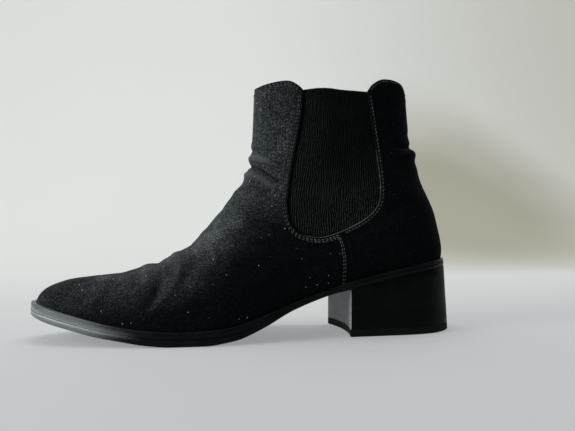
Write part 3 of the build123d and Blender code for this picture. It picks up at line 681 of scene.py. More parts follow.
def suede_material():
    """Near-black suede with a pale nap, dusty patches and lint, and painted light and shade on it."""
    m = Recipe("black_suede", Roughness=0.95)
    nap = m.noise(950.0, 3.0, 0.75)
    strokes = m.noise(150.0, 4.0, 0.6, distortion=0.4)
    clouds = m.noise(28.0, 3.0, 0.55)
    worn = m.span(clouds, 0.36, 0.66)
    # Painted light: the front of the shaft and the parts that face up and towards the toe are made lighter,
    # as where the lamps fall; random worn clouds break this up.
    shaft = m.times(m.span(m.axis("X"), 0.060, 0.012), m.span(m.axis("Z"), 0.066, 0.100))
    ridge = m.math("SUBTRACT", m.times(m.facing("Z"), 0.75), m.times(m.facing("X"), 0.60))
    ridge = m.plus(ridge, m.span(m.axis("X"), -0.080, -0.120, 0.0, 0.16))
    ridge = m.times(m.span(ridge, 0.20, 0.70), m.span(m.axis("X"), 0.085, 0.045))
    ridge = m.times(ridge, m.span(m.axis("X"), -0.075, -0.025, 0.46, 0.82))
    wear_and_painted_light = m.times(m.math("MAXIMUM", m.times(shaft, 1.05), ridge),
                  m.plus(m.times(worn, 0.6), 0.5), clamp=True)
    flecks = m.span(nap, 0.49, 0.66)
    ground = m.mix(wear_and_painted_light, (0.0018, 0.0024, 0.0029), (0.0130, 0.0162, 0.0182))
    pale = m.times(flecks, m.plus(m.times(wear_and_painted_light, 0.78), 0.04), clamp=True)
    pale = m.times(pale, m.span(strokes, 0.30, 0.62, 0.35, 1.0))
    colour = m.mix(pale, ground, (0.120, 0.137, 0.144))
    # Painted highlight on the ridges of the folds.
    painted_fold_light = m.attribute("painted_fold_light")
    colour = m.mix(m.times(m.span(painted_fold_light, 0.56, 0.90), m.times(wear_and_painted_light, 0.60)), colour,
                   (0.070, 0.080, 0.084))
    grit = m.node("ShaderNodeTexVoronoi", {"Vector": m.place, "Scale": 1500.0})
    chance = m.node("ShaderNodeSeparateColor", {0: grit.outputs["Color"]}).outputs["Green"]
    dots = m.times(m.span(grit.outputs["Distance"], 0.42, 0.22), m.span(chance, 0.45, 1.05))
    dots = m.times(dots, m.plus(m.times(wear_and_painted_light, 0.80), 0.05), clamp=True)
    colour = m.mix(dots, colour, (0.200, 0.224, 0.230))
    # Painted shade in the valleys of the folds.
    colour = m.mix(m.span(painted_fold_light, 0.40, 0.10, 0.0, 0.70), colour, (0.0022, 0.0028, 0.0032))
    # Darker band within about 5 mm of cut edges: painted shade in the stitch grooves, over leather pressed
    # darker there.
    trim = m.attribute("trim")
    colour = m.mix(m.times(trim, 0.72), colour, (0.0030, 0.0036, 0.0040))
    ragged = m.noise(260.0, 4.0, 0.7)
    for spot, radius in DUST_SPOTS:
        patch = m.times(m.near(spot, radius, m.math("SUBTRACT", ragged, 0.5)),
                       m.span(nap, 0.40, 0.66))
        colour = m.mix(m.times(patch, 0.42), colour, (0.118, 0.124, 0.121))
    forward = m.span(m.axis("X"), 0.080, 0.030, 0.12, 0.75)
    for scale, reach, rarity in ((210.0, 0.075, 0.88), (390.0, 0.14, 0.90)):
        cells = m.node("ShaderNodeTexVoronoi", {"Vector": m.place, "Scale": scale})
        pick = m.node("ShaderNodeSeparateColor", {0: cells.outputs["Color"]}).outputs["Red"]
        lint = m.times(m.span(cells.outputs["Distance"], reach, reach * 0.6),
                      m.span(pick, rarity, rarity + 0.04))
        colour = m.mix(m.times(lint, forward), colour, (0.50, 0.52, 0.53))
    m.set("Base Color", colour)
    m.set("Sheen Weight", m.times(m.span(strokes, 0.25, 0.75, 0.06, 0.22), m.plus(wear_and_painted_light, 0.10)))
    m.shader.inputs["Sheen Roughness"].default_value = 0.45
    m.shader.inputs["Sheen Tint"].default_value = shade((0.62, 0.72, 0.76))
    m.shader.inputs["Specular IOR Level"].default_value = 0.03
    m.bump((nap, 0.45), (strokes, 0.12))
    return m.material


def elastic_material():
    """Ribbed black elastic webbing, its rib tops painted lighter as lit and its grooves and front edge
    painted dark as shade.
    """
    m = Recipe("gore_elastic", Roughness=0.85)
    rib = m.attribute("rib")
    shadow = m.attribute("shadow")
    knit = m.noise(1.0, 3.0, 0.7, m.stretched((700.0, 700.0, 1150.0)))
    clouds = m.noise(45.0, 3.0, 0.6)
    front = m.span(m.axis("X"), 0.056, 0.024)
    low = m.span(m.axis("Z"), 0.125, 0.085)
    # Painted light: rib tops lighter near the front and low down, patchy along the knit.
    lit = m.plus(m.times(m.math("MAXIMUM", front, low), 0.75), 0.20)
    lit = m.times(lit, m.span(clouds, 0.25, 0.70, 0.55, 1.0))
    tops = m.times(m.span(rib, 0.35, 0.95), m.span(knit, 0.38, 0.60, 0.05, 1.0))
    base = m.mix(m.times(tops, lit), (0.0012, 0.0016, 0.0017), (0.034, 0.039, 0.038))
    # Painted shadow in a strip along the front edge, where the suede overhangs.
    m.set("Base Color", m.mix(shadow, base, (0.0010, 0.0012, 0.0013)))
    m.shader.inputs["Specular IOR Level"].default_value = 0.05
    m.bump((knit, 0.22))
    return m.material


def cloth_material(name, dark, light, scale, amount, roughness=0.8):
    """Plain woven or fibrous finish between two colours."""
    m = Recipe(name, Roughness=roughness)
    grain = m.noise(scale, 4.0, 0.65)
    clouds = m.noise(scale * 0.06, 3.0, 0.6)
    mask = m.plus(m.times(grain, 0.6), m.times(clouds, 0.4))
    m.set("Base Color", m.mix(m.span(mask, 0.35, 0.65), dark, light))
    m.shader.inputs["Specular IOR Level"].default_value = 0.15
    m.bump((grain, amount))
    return m.material


def thread_material():
    """Black polyester thread, greyed where it rubs, with a painted highlight along its twist."""
    m = Recipe("black_thread", Roughness=0.6)
    twist = m.noise(1.0, 2.0, 0.5, m.stretched((2400.0, 2400.0, 1400.0)))
    wear_and_painted_light = m.noise(180.0, 3.0, 0.6)
    base = m.mix(m.span(wear_and_painted_light, 0.4, 0.7), (0.010, 0.011, 0.011), (0.068, 0.072, 0.072))
    # Painted highlight along the twist of each stitch.
    m.set("Base Color", m.mix(m.times(m.span(twist, 0.45, 0.7), 0.4), base,
                              (0.14, 0.147, 0.147)))
    m.shader.inputs["Specular IOR Level"].default_value = 0.2
    m.bump((twist, 0.08))
    return m.material


def rubber_material(name, painted_toe_highlight, shine):
    """Dark rubber with scuffs; the toe's side wall is glossier and painted paler as a highlight, and marked
    rings carry a painted highlight line.
    """
    m = Recipe(name)
    under = m.span(m.facing("Z"), -0.45, -0.85)
    # The toe's side wall, which gets a painted highlight, real gloss and dust on its ledge.
    toe = m.times(m.span(m.axis("X"), -0.078, -0.112), m.math("SUBTRACT", 1.0, under))
    scratches = m.noise(1.0, 6.0, 0.75, m.stretched((70.0, 900.0, 70.0)), 0.6)
    scuffs = m.noise(1.0, 5.0, 0.7, m.stretched((260.0, 260.0, 1500.0)))
    clouds = m.noise(90.0, 4.0, 0.6)
    fine = m.noise(2200.0, 3.0, 0.7)
    base = m.mix(m.span(clouds, 0.35, 0.7), (0.0026, 0.0034, 0.0038), (0.0060, 0.0070, 0.0075))
    scuffed = m.times(m.span(scuffs, 0.52, 0.78), 0.25)
    base = m.mix(scuffed, base, (0.030, 0.033, 0.035))
    # Painted highlight: the toe's side wall is made paler, as where the lamp at the left catches it.
    base = m.mix(m.times(toe, painted_toe_highlight), base, (0.115, 0.132, 0.138))
    walked = m.times(under, m.span(m.plus(m.times(scratches, 0.6),
                                                     m.times(clouds, 0.4)), 0.44, 0.62))
    base = m.mix(m.times(walked, 0.7), base, (0.040, 0.041, 0.040))
    # Painted highlight line along the sole's edge at the toe.
    painted_highlight_line = m.attribute("painted_highlight_line")
    painted_highlight_line = m.times(m.times(painted_highlight_line, m.span(scuffs, 0.30, 0.55, 0.4, 1.0)),
                 m.span(m.axis("X"), -0.070, -0.105))
    base = m.mix(m.times(painted_highlight_line, 0.70), base, (0.36, 0.40, 0.43))
    ledge = m.times(m.times(toe, m.span(m.facing("Z"), 0.45, 0.85)),
                   m.span(m.noise(700.0, 4.0, 0.7), 0.35, 0.60))
    base = m.mix(m.times(ledge, 0.55), base, (0.115, 0.100, 0.082))
    m.set("Base Color", base)
    m.set("Roughness", m.span(m.plus(clouds, m.times(scuffs, 0.4)), 0.4, 1.0, 0.26, 0.50))
    m.set("Specular IOR Level", m.span(toe, 0.0, 1.0, 0.06, shine))
    m.bump((scuffs, 0.06), (fine, 0.03), (m.times(scratches, under), 0.10))
    return m.material


def heel_material():
    """Black painted stacked heel: faint level lift lines, greyer breast, a painted highlight down its
    rounded back.
    """
    m = Recipe("painted_heel")
    lines = m.noise(1.0, 3.0, 0.6, m.stretched((18.0, 18.0, 900.0)))
    lifts = m.math("PINGPONG", m.axis("Z"), 0.0027)
    joint = m.span(lifts, 0.00022, 0.00005)
    clouds = m.noise(70.0, 4.0, 0.6)
    grain = m.noise(1600.0, 3.0, 0.6)
    base = m.mix(m.span(clouds, 0.35, 0.7), (0.0016, 0.0021, 0.0023), (0.0030, 0.0036, 0.0038))
    base = m.mix(m.times(m.span(lines, 0.5, 0.75), 0.18), base, (0.014, 0.015, 0.015))
    # Painted highlight down the rounded back of the heel, streaked along the lift lines.
    back = m.span(m.axis("X"), 0.120, 0.140)
    base = m.mix(m.times(back, m.times(m.span(lines, 0.45, 0.8), 0.20)), base,
                 (0.075, 0.073, 0.072))
    breast = m.span(m.facing("X"), -0.75, -0.92)
    base = m.mix(m.times(breast, 0.9), base,
                 m.mix(m.span(clouds, 0.3, 0.7), (0.240, 0.262, 0.260), (0.350, 0.378, 0.373)))
    m.set("Base Color", base)
    m.set("Roughness", m.span(clouds, 0.3, 0.8, 0.38, 0.60))
    m.shader.inputs["Specular IOR Level"].default_value = 0.05
    m.bump((lines, 0.05), (joint, -0.06), (grain, 0.02))
    return m.material


def steel_material():
    m = Recipe("plain_steel")
    m.shader.inputs["Metallic"].default_value = 1.0
    brushed = m.noise(1.0, 3.0, 0.6, m.stretched((300.0, 2500.0, 300.0)))
    m.set("Base Color", m.mix(brushed, (0.30, 0.30, 0.31), (0.52, 0.52, 0.53)))
    m.set("Roughness", m.span(brushed, 0.3, 0.7, 0.28, 0.48))
    m.bump((brushed, 0.02))
    return m.material


suede = suede_material()
elastic = elastic_material()
thread = thread_material()
lining_leather = cloth_material("lining_leather", (0.020, 0.018, 0.017), (0.034, 0.031, 0.029),
                                900.0, 0.06, 0.6)
stiffener = cloth_material("stiffener", (0.30, 0.27, 0.22), (0.40, 0.37, 0.31), 600.0, 0.05)
tape_cloth = cloth_material("reinforcing_tape", (0.50, 0.49, 0.46), (0.62, 0.61, 0.58), 1100.0, 0.06)
fibreboard = cloth_material("fibreboard", (0.22, 0.16, 0.10), (0.32, 0.24, 0.16), 500.0, 0.06)
cork = cloth_material("cork", (0.20, 0.13, 0.07), (0.38, 0.27, 0.17), 320.0, 0.12)
insock_leather = cloth_material("insock_leather", (0.030, 0.027, 0.025), (0.050, 0.046, 0.042),
                                800.0, 0.05, 0.55)
foam = cloth_material("latex_foam", (0.55, 0.50, 0.36), (0.66, 0.61, 0.46), 1300.0, 0.10)
sole_rubber = rubber_material("sole_rubber", 0.85, 0.70)
rand_rubber = rubber_material("rand_rubber", 0.50, 0.30)
heel_paint = heel_material()
top_piece_rubber = cloth_material("top_piece_rubber", (0.0018, 0.0022, 0.0024), (0.0045, 0.0050, 0.0052),
                                  700.0, 0.05, 0.8)
steel = steel_material()
edge_tape = cloth_material("edge_tape", (0.018, 0.021, 0.021), (0.110, 0.120, 0.118), 420.0, 0.05)

# ---------------------------------------------------------------- upper
HALF = SKIN.columns // 2
vamp = sheet_between("vamp_suede", (-HALF, HALF), vamp_distance, 0, SUEDE, suede,
                     (0.25, 0.6, 1.0, 1.6, 2.2, 2.9, 3.6, 4.4), rows=VAMP_ROWS)
stand_for(vamp, "suede", "vamp")
for side_name, columns in (("lateral", (0, HALF)), ("medial", (HALF, SKIN.columns))):
    quarter = sheet_between("quarter_suede_" + side_name, columns, quarter_distance, 0, SUEDE, suede,
                            (0.25, 0.6, 1.0, 1.6, 2.2, 3.0), rows=QUARTER_ROWS)
    stand_for(quarter, "suede", "quarter_" + side_name)

STIFF = SUEDE + 0.04
SEAM_COLUMNS = SKIN.columns // 40 * 2
LINE = SUEDE + STIFFENER + 0.02
hidden_layers = [
    ("lining_of_vamp", (-HALF, HALF), lining_front_distance, LINE, LINING_DEPTH, lining_leather,
     "lining_leather", "lining_front"),
    ("lining_of_quarters", (-HALF, HALF), lining_back_distance, LINE, LINING_DEPTH, lining_leather,
     "lining_leather", "lining_back"),
    ("toe_puff_sheet", (-HALF, HALF), puff_distance, STIFF, LINE - 0.02, stiffener, "stiffener", "toe_puff"),
    ("heel_counter_sheet", (0, SKIN.columns), counter_distance, STIFF, LINE - 0.02, stiffener,
     "stiffener", "heel_counter"),
    ("collar_tape_of_vamp", (-HALF, HALF), front_tape_distance, STIFF, LINE - 0.02, tape_cloth,
     "tape", "collar_tape_front"),
    ("collar_tape_of_quarters", (0, SKIN.columns), back_tape_distance, STIFF, LINE - 0.02, tape_cloth,
     "tape", "collar_tape_back"),
    ("back_seam_strip", (HALF - SEAM_COLUMNS, HALF + SEAM_COLUMNS), seam_strip_distance, STIFF, LINE - 0.02,
     tape_cloth, "tape", "back_seam_tape"),
]
for name, columns, distance, outer, inner, material, slot_name, node in hidden_layers:
    stand_for(sheet_between(name, columns, distance, outer, inner, material, step=2), slot_name, node)

# ---------------------------------------------------------------- gores
RIBS = 50
GORE_ALLOWANCE = 4.0
GORE_HIGH = 168.0


def gore_sheet(side):
    """Elastic panel with real ribs; its borders lie hidden under the suede."""
    across = 6 // COARSE * RIBS
    levels = np.linspace(58.0, GORE_HIGH, 110 // COARSE)
    upper_front = gore_front[: np.argmin(gore_front[:, 0]) + 1]
    upper_rear = gore_rear[np.argmax(gore_rear[:, 0]):]
    front_x = np.interp(levels, upper_front[::-1, 1], upper_front[::-1, 0]) - GORE_ALLOWANCE
    rear_x = np.interp(levels, upper_rear[:, 1], upper_rear[:, 0]) + GORE_ALLOWANCE
    share = np.linspace(0, 1, across + 1)
    wobble = 0.40 / RIBS * (np.sin(levels / 6.5)[:, None] * np.sin(share * 19 + 1)[None, :]
                            + np.sin(levels / 3.1 + 2)[:, None] * np.sin(share * 43)[None, :])
    x = front_x[:, None] + (rear_x - front_x)[:, None] * (share[None, :] + wobble)
    z = np.repeat(levels[:, None], across + 1, 1)
    rib = 0.5 - 0.5 * np.cos(share * RIBS * 2 * math.pi)
    places = np.stack([x.ravel(), z.ravel(), np.tile(rib, len(levels))], -1)
    faces = grid_faces(len(levels), across + 1)
    top_edge = smooth(GORE_TOP)
    gap = signed_distance(places[:, 0], places[:, 1], gore_edge, gore_loop) + GORE_ALLOWANCE
    gap = np.minimum(gap, np.interp(places[:, 0], top_edge[:, 0], top_edge[:, 1]) - places[:, 1])
    places, faces, gap = split_faces(places, faces, gap, 0.0, False)
    places, faces, gap = compact(places, faces, gap)
    x, z, rib = places.T
    points, normals = side_frame(x, z, side)
    height = relief(points)
    outer = height - SUEDE - 0.06 - 0.55 * (1 - rib)
    inner = height - LINING_DEPTH
    if side < 0:
        faces = [tuple(reversed(face)) for face in faces]
    shell = closed_sheet(points + normals * outer[:, None], points + normals * inner[:, None], faces)
    from_front = signed_distance(x, z, gore_front, gore_loop)
    return shell, rib, np.clip(1.6 - from_front / 1.5, 0, 1)


for side_name, side in (("lateral", -1), ("medial", 1)):
    shell, rib_height, front_shadow = gore_sheet(side)
    gore = piece("gore_elastic_" + side_name, *shell, elastic, 60.0)
    mark(gore, "rib", rib_height)
    mark(gore, "shadow", front_shadow)
    stand_for(gore, "elastic", "gore_" + side_name)


# ---------------------------------------------------------------- stitches
def beside(edge, away, start, end=0.0, pitch=2.4):
    """Evenly spaced places to the right of an edge, with the edge's direction there."""
    runs = run_lengths(edge)
    count = max(int((runs[-1] - start - end) / pitch), 1)
    at = start + (np.arange(count) + 0.5) * (runs[-1] - start - end) / count
    x, z = np.interp(at, runs, edge[:, 0]), np.interp(at, runs, edge[:, 1])
    dx = np.interp(at + 0.5, runs, edge[:, 0]) - np.interp(at - 0.5, runs, edge[:, 0])
    dz = np.interp(at + 0.5, runs, edge[:, 1]) - np.interp(at - 0.5, runs, edge[:, 1])
    length = np.hypot(dx, dz)
    dx, dz = dx / length, dz / length
    return x + dz * away, z - dx * away, dx, dz


def six_round(middle, sideways, normal, radius):
    """Six places round a thread's middle."""
    turns = [k * math.pi / 3 for k in range(6)]
    return [middle + radius * (sideways * math.cos(turn) + normal * math.sin(turn)) for turn in turns]


def stitch_mesh(centre, along, normal, length=2.2, thick=0.34):
    """Closed, slightly arched stitch lying along a direction."""
    sideways = np.cross(normal, along)
    shares = (-1.0, -0.86, -0.5, 0.0, 0.5, 0.86, 1.0)
    radii = (0.25, 0.72, 1.0, 1.0, 1.0, 0.72, 0.25)
    lifts = (-0.30, -0.06, 0.10, 0.15, 0.10, -0.06, -0.30)
    vertices = []
    for share, radius, lift in zip(shares, radii, lifts):
        middle = centre + along * share * length / 2 + normal * lift
        vertices += six_round(middle, sideways, normal, thick * radius)
    faces = ring_walls(len(shares), 6)
    faces.append(tuple(range(5, -1, -1)))
    faces.append(tuple(range(len(vertices) - 6, len(vertices))))
    return vertices, faces


def stitch_rows(name, rows, sides, node, slant=0.42):
    """Rows of slanted stitches pressed into the suede."""
    random = np.random.RandomState(11)
    vertices, faces = [], []
    for edge, away, start, end in rows:
        for side in sides:
            x, z, dx, dz = beside(edge, away, start, end)
            points, normals = side_frame(x, z, side)
            lift = relief(points) - GROOVE + 0.20
            ahead, _ = side_frame(x + dx * 0.3, z + dz * 0.3, side)
            along = ahead - points
            along /= np.linalg.norm(along, axis=1, keepdims=True)
            for k in range(len(x)):
                turn = slant + random.uniform(-0.06, 0.06)
                sideways = np.cross(normals[k], along[k]) * side
                direction = along[k] * math.cos(turn) + sideways * math.sin(turn)
                made = stitch_mesh(points[k] + normals[k] * lift[k], direction, normals[k])
                first = len(vertices)
                vertices.extend(made[0])
                faces.extend(tuple(v + first for v in face) for face in made[1])
    stand_for(piece(name, vertices, faces, thread, 60.0), "thread", node)


seam_part = side_seam[side_seam[:, 1] > 33]
gore_rows = [(gore_front, 1.6, 4.0, 1.5), (gore_front, 2.9, 4.0, 1.5), (gore_rear, 1.6, 2.5, 3.0)]
for side_name, side in (("lateral", -1), ("medial", 1)):
    stitch_rows("gore_stitches_" + side_name, gore_rows, (side,), "gore_stitching_" + side_name)
stitch_rows("seam_stitches", [(seam_part, 1.6, 2.5, 0.0), (seam_part, 2.9, 2.5, 0.0)], (-1, 1),
            "side_seam_stitching")
stitch_rows("collar_stitches", [(front_top, 1.6, 7.5, 2.0), (front_top, 2.9, 7.5, 2.0),
                                (back_top, 1.6, 2.0, 8.0)], (-1, 1), "collar_stitching")


def edge_cord(name, path, away, sink, thick, node_slot):
    """Thin closed cord along an edge of the side view, tapered at both ends."""
    x, z, dx, dz = beside(path, away, 0.0, pitch=0.9)
    vertices, faces = [], []
    for side in (-1, 1):
        points, normals = side_frame(x, z, side)
        ahead, _ = side_frame(x + dx * 0.3, z + dz * 0.3, side)
        along = ahead - points
        along /= np.linalg.norm(along, axis=1, keepdims=True)
        sideways = np.cross(normals, along)
        middle = points + normals * (relief(points) - sink)[:, None]
        ends = np.minimum(np.arange(len(x)), np.arange(len(x))[::-1])
        radius = thick * np.clip(0.3 + ends / 12, 0, 1)
        first = len(vertices)
        for k in range(len(x)):
            vertices += six_round(middle[k], sideways[k], normals[k], radius[k])
        faces += ring_walls(len(x), 6, first)
        faces.append(tuple(range(first + 5, first - 1, -1)))
        faces.append(tuple(range(len(vertices) - 6, len(vertices))))
    stand_for(piece(name, vertices, faces, edge_tape, 60.0), node_slot)


low_front = int(np.argmax(gore_edge[:, 1] < 68))
low_rear = len(gore_edge) - int(np.argmax(gore_edge[::-1, 1] < 126))
edge_cord("gore_edge_cord", gore_edge[low_front:low_rear], -0.15, 0.70, 0.30, "thread")


# ---------------------------------------------------------------- sole and heel rings
def side_samples(points, count):
    """Evenly spaced points of an open plan curve."""
    curve = smooth(points, 0.5)
    runs = run_lengths(curve)
    at = np.linspace(0, runs[-1], count)
    return np.stack([np.interp(at, runs, curve[:, 0]), np.interp(at, runs, curve[:, 1])], -1)


def plan_ring(lateral, medial, count):
    """Closed ring: the lateral side from toe to heel, then the medial side back."""
    return np.vstack([side_samples(lateral, count + 1)[:-1], side_samples(medial, count + 1)[:-1]])


def outward(ring):
    """Unit plan normals of a closed ring."""
    run = np.roll(ring, -1, 0) - np.roll(ring, 1, 0)
    normal = np.stack([run[:, 1], -run[:, 0]], -1) / (np.linalg.norm(run, axis=1)[:, None] + 1e-9)
    area = (ring[:, 0] * np.roll(ring[:, 1], -1) - ring[:, 1] * np.roll(ring[:, 0], -1)).sum()
    return normal * np.sign(area)


def ring_body(rings, low_z, high_z, across=14):
    """Closed solid through stacked rings, with gridded caps that follow a height each."""
    count = len(rings[0])
    half = count // 2
    vertices = [p for ring in rings for p in ring]
    faces = ring_walls(len(rings), count)
    for level, height, flip in ((0, low_z, True), (len(rings) - 1, high_z, False)):
        ring = rings[level]
        rows = []
        for k in range(1, half):
            row = [level * count + k]
            for step in range(1, across):
                x, y = (ring[k] + (ring[count - k] - ring[k]) * step / across)[:2]
                vertices.append((x, y, height(x, y)))
                row.append(len(vertices) - 1)
            row.append(level * count + count - k)
            rows.append(row)
        caps = [(rows[i][j], rows[i + 1][j], rows[i + 1][j + 1], rows[i][j + 1])
                for i in range(len(rows) - 1) for j in range(across)]
        caps.append(tuple([level * count] + rows[0]))
        caps.append(tuple([level * count + half] + rows[-1][::-1]))
        faces.extend(tuple(reversed(f)) for f in caps) if flip else faces.extend(caps)
    return vertices, faces


def layered(ring, steps):
    """Rings offset outward by the first number, at the height that each step gives."""
    normal = outward(ring)
    out = []
    for away, height in steps:
        flat = ring + normal * away
        out.append(np.column_stack([flat, height(flat[:, 0])]))
    return out


def tread_z(x):
    """Underside of the outsole, just clear of the floor where it rests."""
    return np.maximum(ground_z(x), 0.0) + 0.03


# Outsole rings that carry a painted highlight line.
HIGHLIGHT_RINGS = (6, 7, 8)
sole_ring = plan_ring(SOLE_LATERAL, SOLE_MEDIAL, 300 // COARSE)
sole_steps = [(-4.0, tread_z), (-1.0, lambda x: tread_z(x) + 0.02),
              (-0.42, lambda x: tread_z(x) + 0.12), (-0.10, lambda x: tread_z(x) + 0.42),
              (0.03, lambda x: tread_z(x) + 1.0), (0.05, lambda x: (ground_z(x) + seat_z(x)) / 2),
              (0.20, lambda x: seat_z(x) - 0.95), (0.22, lambda x: seat_z(x) - 0.50),
              (0.02, lambda x: seat_z(x) - 0.12), (-1.0, lambda x: seat_z(x) - 0.04),
              (-4.0, lambda x: seat_z(x) - 0.04)]
outsole = piece("outsole_body", *ring_body(layered(sole_ring, sole_steps), lambda x, y: tread_z(x),
                                           lambda x, y: seat_z(x) - 0.04), sole_rubber)
ring_level = np.arange(len(outsole.data.vertices)) // len(sole_ring)
mark(outsole, "painted_highlight_line", np.isin(ring_level, HIGHLIGHT_RINGS) * 0.7)
stand_for(outsole, "sole", "outsole")


def reach_to_skin(ring, heights):
    """How far inward of a ring the last's skin begins, at given heights."""
    normal = outward(ring)
    tries = np.arange(0.0, 12.0, 0.1)
    places = ring[:, None, :] - normal[:, None, :] * tries[None, :, None]
    z = np.repeat(heights[:, None], len(tries), 1)
    low, high = skin_y(places[..., 0], z, -1), skin_y(places[..., 0], z, 1)
    hit = (places[..., 1] > low) & (places[..., 1] < high)
    return np.where(hit.any(1), tries[np.argmax(hit, 1)], 6.0)


def rand_mesh():
    """Strip that stands on the outsole round the upper, with a narrow ledge on top."""
    normal = outward(sole_ring)
    x = sole_ring[:, 0]
    low, high = seat_z(x) + 0.02, rand_z(x)
    top_reach = np.clip(reach_to_skin(sole_ring, high), 0.7, 5.5)
    foot_reach = np.clip(reach_to_skin(sole_ring, low + 0.3), 0.8, 7.0)
    profile = [(0.45, low), (0.22, low + 0.08), (0.12, low + 0.30), (0.05, (low + high) / 2),
               (0.08, high - 0.7), (0.20, high - 0.28), (0.45, high - 0.06), (0.60, high),
               (None, high + 0.05), ("foot", low)]
    rings = []
    for inward, height in profile:
        if inward is None:
            inward = top_reach + 0.15
        elif isinstance(inward, str):
            inward = foot_reach + 0.15
        else:
            inward = np.minimum(inward, top_reach * 0.8)
        flat = sole_ring - normal * np.broadcast_to(inward, x.shape)[:, None]
        rings.append(np.column_stack([flat, height]))
    return np.vstack(rings), ring_walls(len(rings), len(x), wrap=True)


rand_strip = piece("rand_strip", *rand_mesh(), rand_rubber)
# The rand's lower rings carry the painted highlight line too.
rand_level = np.arange(len(rand_strip.data.vertices)) // len(sole_ring)
mark(rand_strip, "painted_highlight_line", np.interp(rand_level, (0, 1, 2, 3, 4), (0.9, 0.9, 0.8, 0.30, 0.0)))
stand_for(rand_strip, "rand_strip", "rand")

HEEL_COUNT = 130 // COARSE
BREAST_COUNT = 34 // COARSE


def heel_ring(z):
    """Heel outline at a height, closed by the hollow breast."""
    share = z / HEEL_HEAD_Z
    foot, head = side_samples(HEEL_FOOT, HEEL_COUNT), side_samples(HEEL_HEAD, HEEL_COUNT)
    outline = foot * (1 - share) + head * share
    y = np.linspace(outline[-1, 1] - 1.2, outline[0, 1] + 1.2, BREAST_COUNT)
    breast = np.stack([BREAST_MIDDLE - BREAST_RADIUS + np.sqrt(BREAST_RADIUS ** 2 - y ** 2), y], -1)
    outline[0, 0], outline[-1, 0] = outline[0, 0] + 0.9, outline[-1, 0] + 0.9
    return np.vstack([outline, breast])


def heel_outlines(levels, low_z, high_z):
    """Heel outlines at (height share, inward offset) levels between two heights."""
    flat = heel_ring(HEEL_HEAD_Z / 2)
    bottom, top = low_z(flat[:, 0]), high_z(flat[:, 0])
    rings = []
    for share, inward in levels:
        z = bottom + (top - bottom) * share
        exact = np.array([heel_ring(v)[k] for k, v in enumerate(z)])
        worn = 1 + 1.6 * np.clip((exact[:, 0] - 122) / 12, 0, 1)[:, None]
        exact = exact - outward(exact) * inward * worn
        rings.append(np.column_stack([exact, z]))
    return rings


def heel_caps(rings, foot_line, top_line):
    """Closed solid whose caps are rings of quads that shrink toward the heel's middle."""
    count = len(rings[0])
    vertices = [p for ring in rings for p in ring]
    faces = ring_walls(len(rings), count)
    middle = np.array([100.0, 0.0])
    for level, line, flip in ((0, foot_line, True), (len(rings) - 1, top_line, False)):
        ring = rings[level]
        previous = [level * count + k for k in range(count)]
        for shrink in (0.8, 0.5, 0.2):
            current = []
            for k in range(count):
                x, y = middle + (ring[k, :2] - middle) * shrink
                z = ring[k, 2] + (np.interp(x, RING_X, line) - np.interp(ring[k, 0], RING_X, line))
                vertices.append((x, y, z))
                current.append(len(vertices) - 1)
            quads = [(previous[k], previous[(k + 1) % count], current[(k + 1) % count], current[k])
                     for k in range(count)]
            faces += [tuple(reversed(q)) for q in quads] if flip else quads
            previous = current
        faces.append(tuple(reversed(previous)) if flip else tuple(previous))
    return vertices, faces


RING_X = np.linspace(55, 150, 96)
floor_line, joint_line = np.zeros_like(RING_X), np.full_like(RING_X, TOP_PIECE)
block_levels = [(0.0, 0.12), (0.003, 0.03), (0.010, 0.0), (0.2, 0.0), (0.4, 0.0), (0.6, 0.0), (0.8, 0.0),
                (0.995, 0.0), (1.0, 0.12)]
heel_rings = heel_outlines(block_levels, lambda x: np.full_like(x, TOP_PIECE + 0.02),
                           lambda x: ground_z(x) - 0.05)
heel_block = piece("heel_block_body", *heel_caps(heel_rings, joint_line, ground_z(RING_X)), heel_paint)
stand_for(heel_block, "heel_lifts", "heel_block")
piece_levels = [(0.0, 0.9), (0.03, 0.4), (0.10, 0.12), (0.22, 0.0), (0.94, 0.0), (0.985, 0.03), (1.0, 0.12)]
top_rings = heel_outlines(piece_levels, np.zeros_like, lambda x: np.full_like(x, TOP_PIECE - 0.02))
top_piece = piece("top_piece_body", *heel_caps(top_rings, floor_line, joint_line), top_piece_rubber)
stand_for(top_piece, "top_piece_rubber", "top_piece")

# ---------------------------------------------------------------- CAD pieces that keep their shape
kept = {"insole_board": (fibreboard, "fibreboard"),
        "shankboard": (fibreboard, "fibreboard"), "forefoot_filler": (cork, "cork"),
        "shank": (steel, "steel"), "shank_rivets": (steel, "steel"), "heel_nails": (steel, "steel"),
        "heel_screw": (steel, "steel"), "top_piece_pins": (steel, "steel"),
        "insock": (insock_leather, "insock_leather"), "heel_pad": (foam, "foam")}
for node, (material, slot_name) in kept.items():
    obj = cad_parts[node]
    obj.data.materials.clear()
    obj.data.materials.append(material)

# ---------------------------------------------------------------- floor, light and camera
FLOOR_FRONT, FLOOR_TURN, COVE_RADIUS, COVE_TOP, COVE_HALF = -1.6, 0.55, 0.80, 1.6, 2.4
# Middle (mm) and radius of the painted shadow on the backdrop.
PAINTED_SHADOW_MIDDLE, PAINTED_SHADOW_RADIUS = (610.0, 960.0, 150.0), 290.0


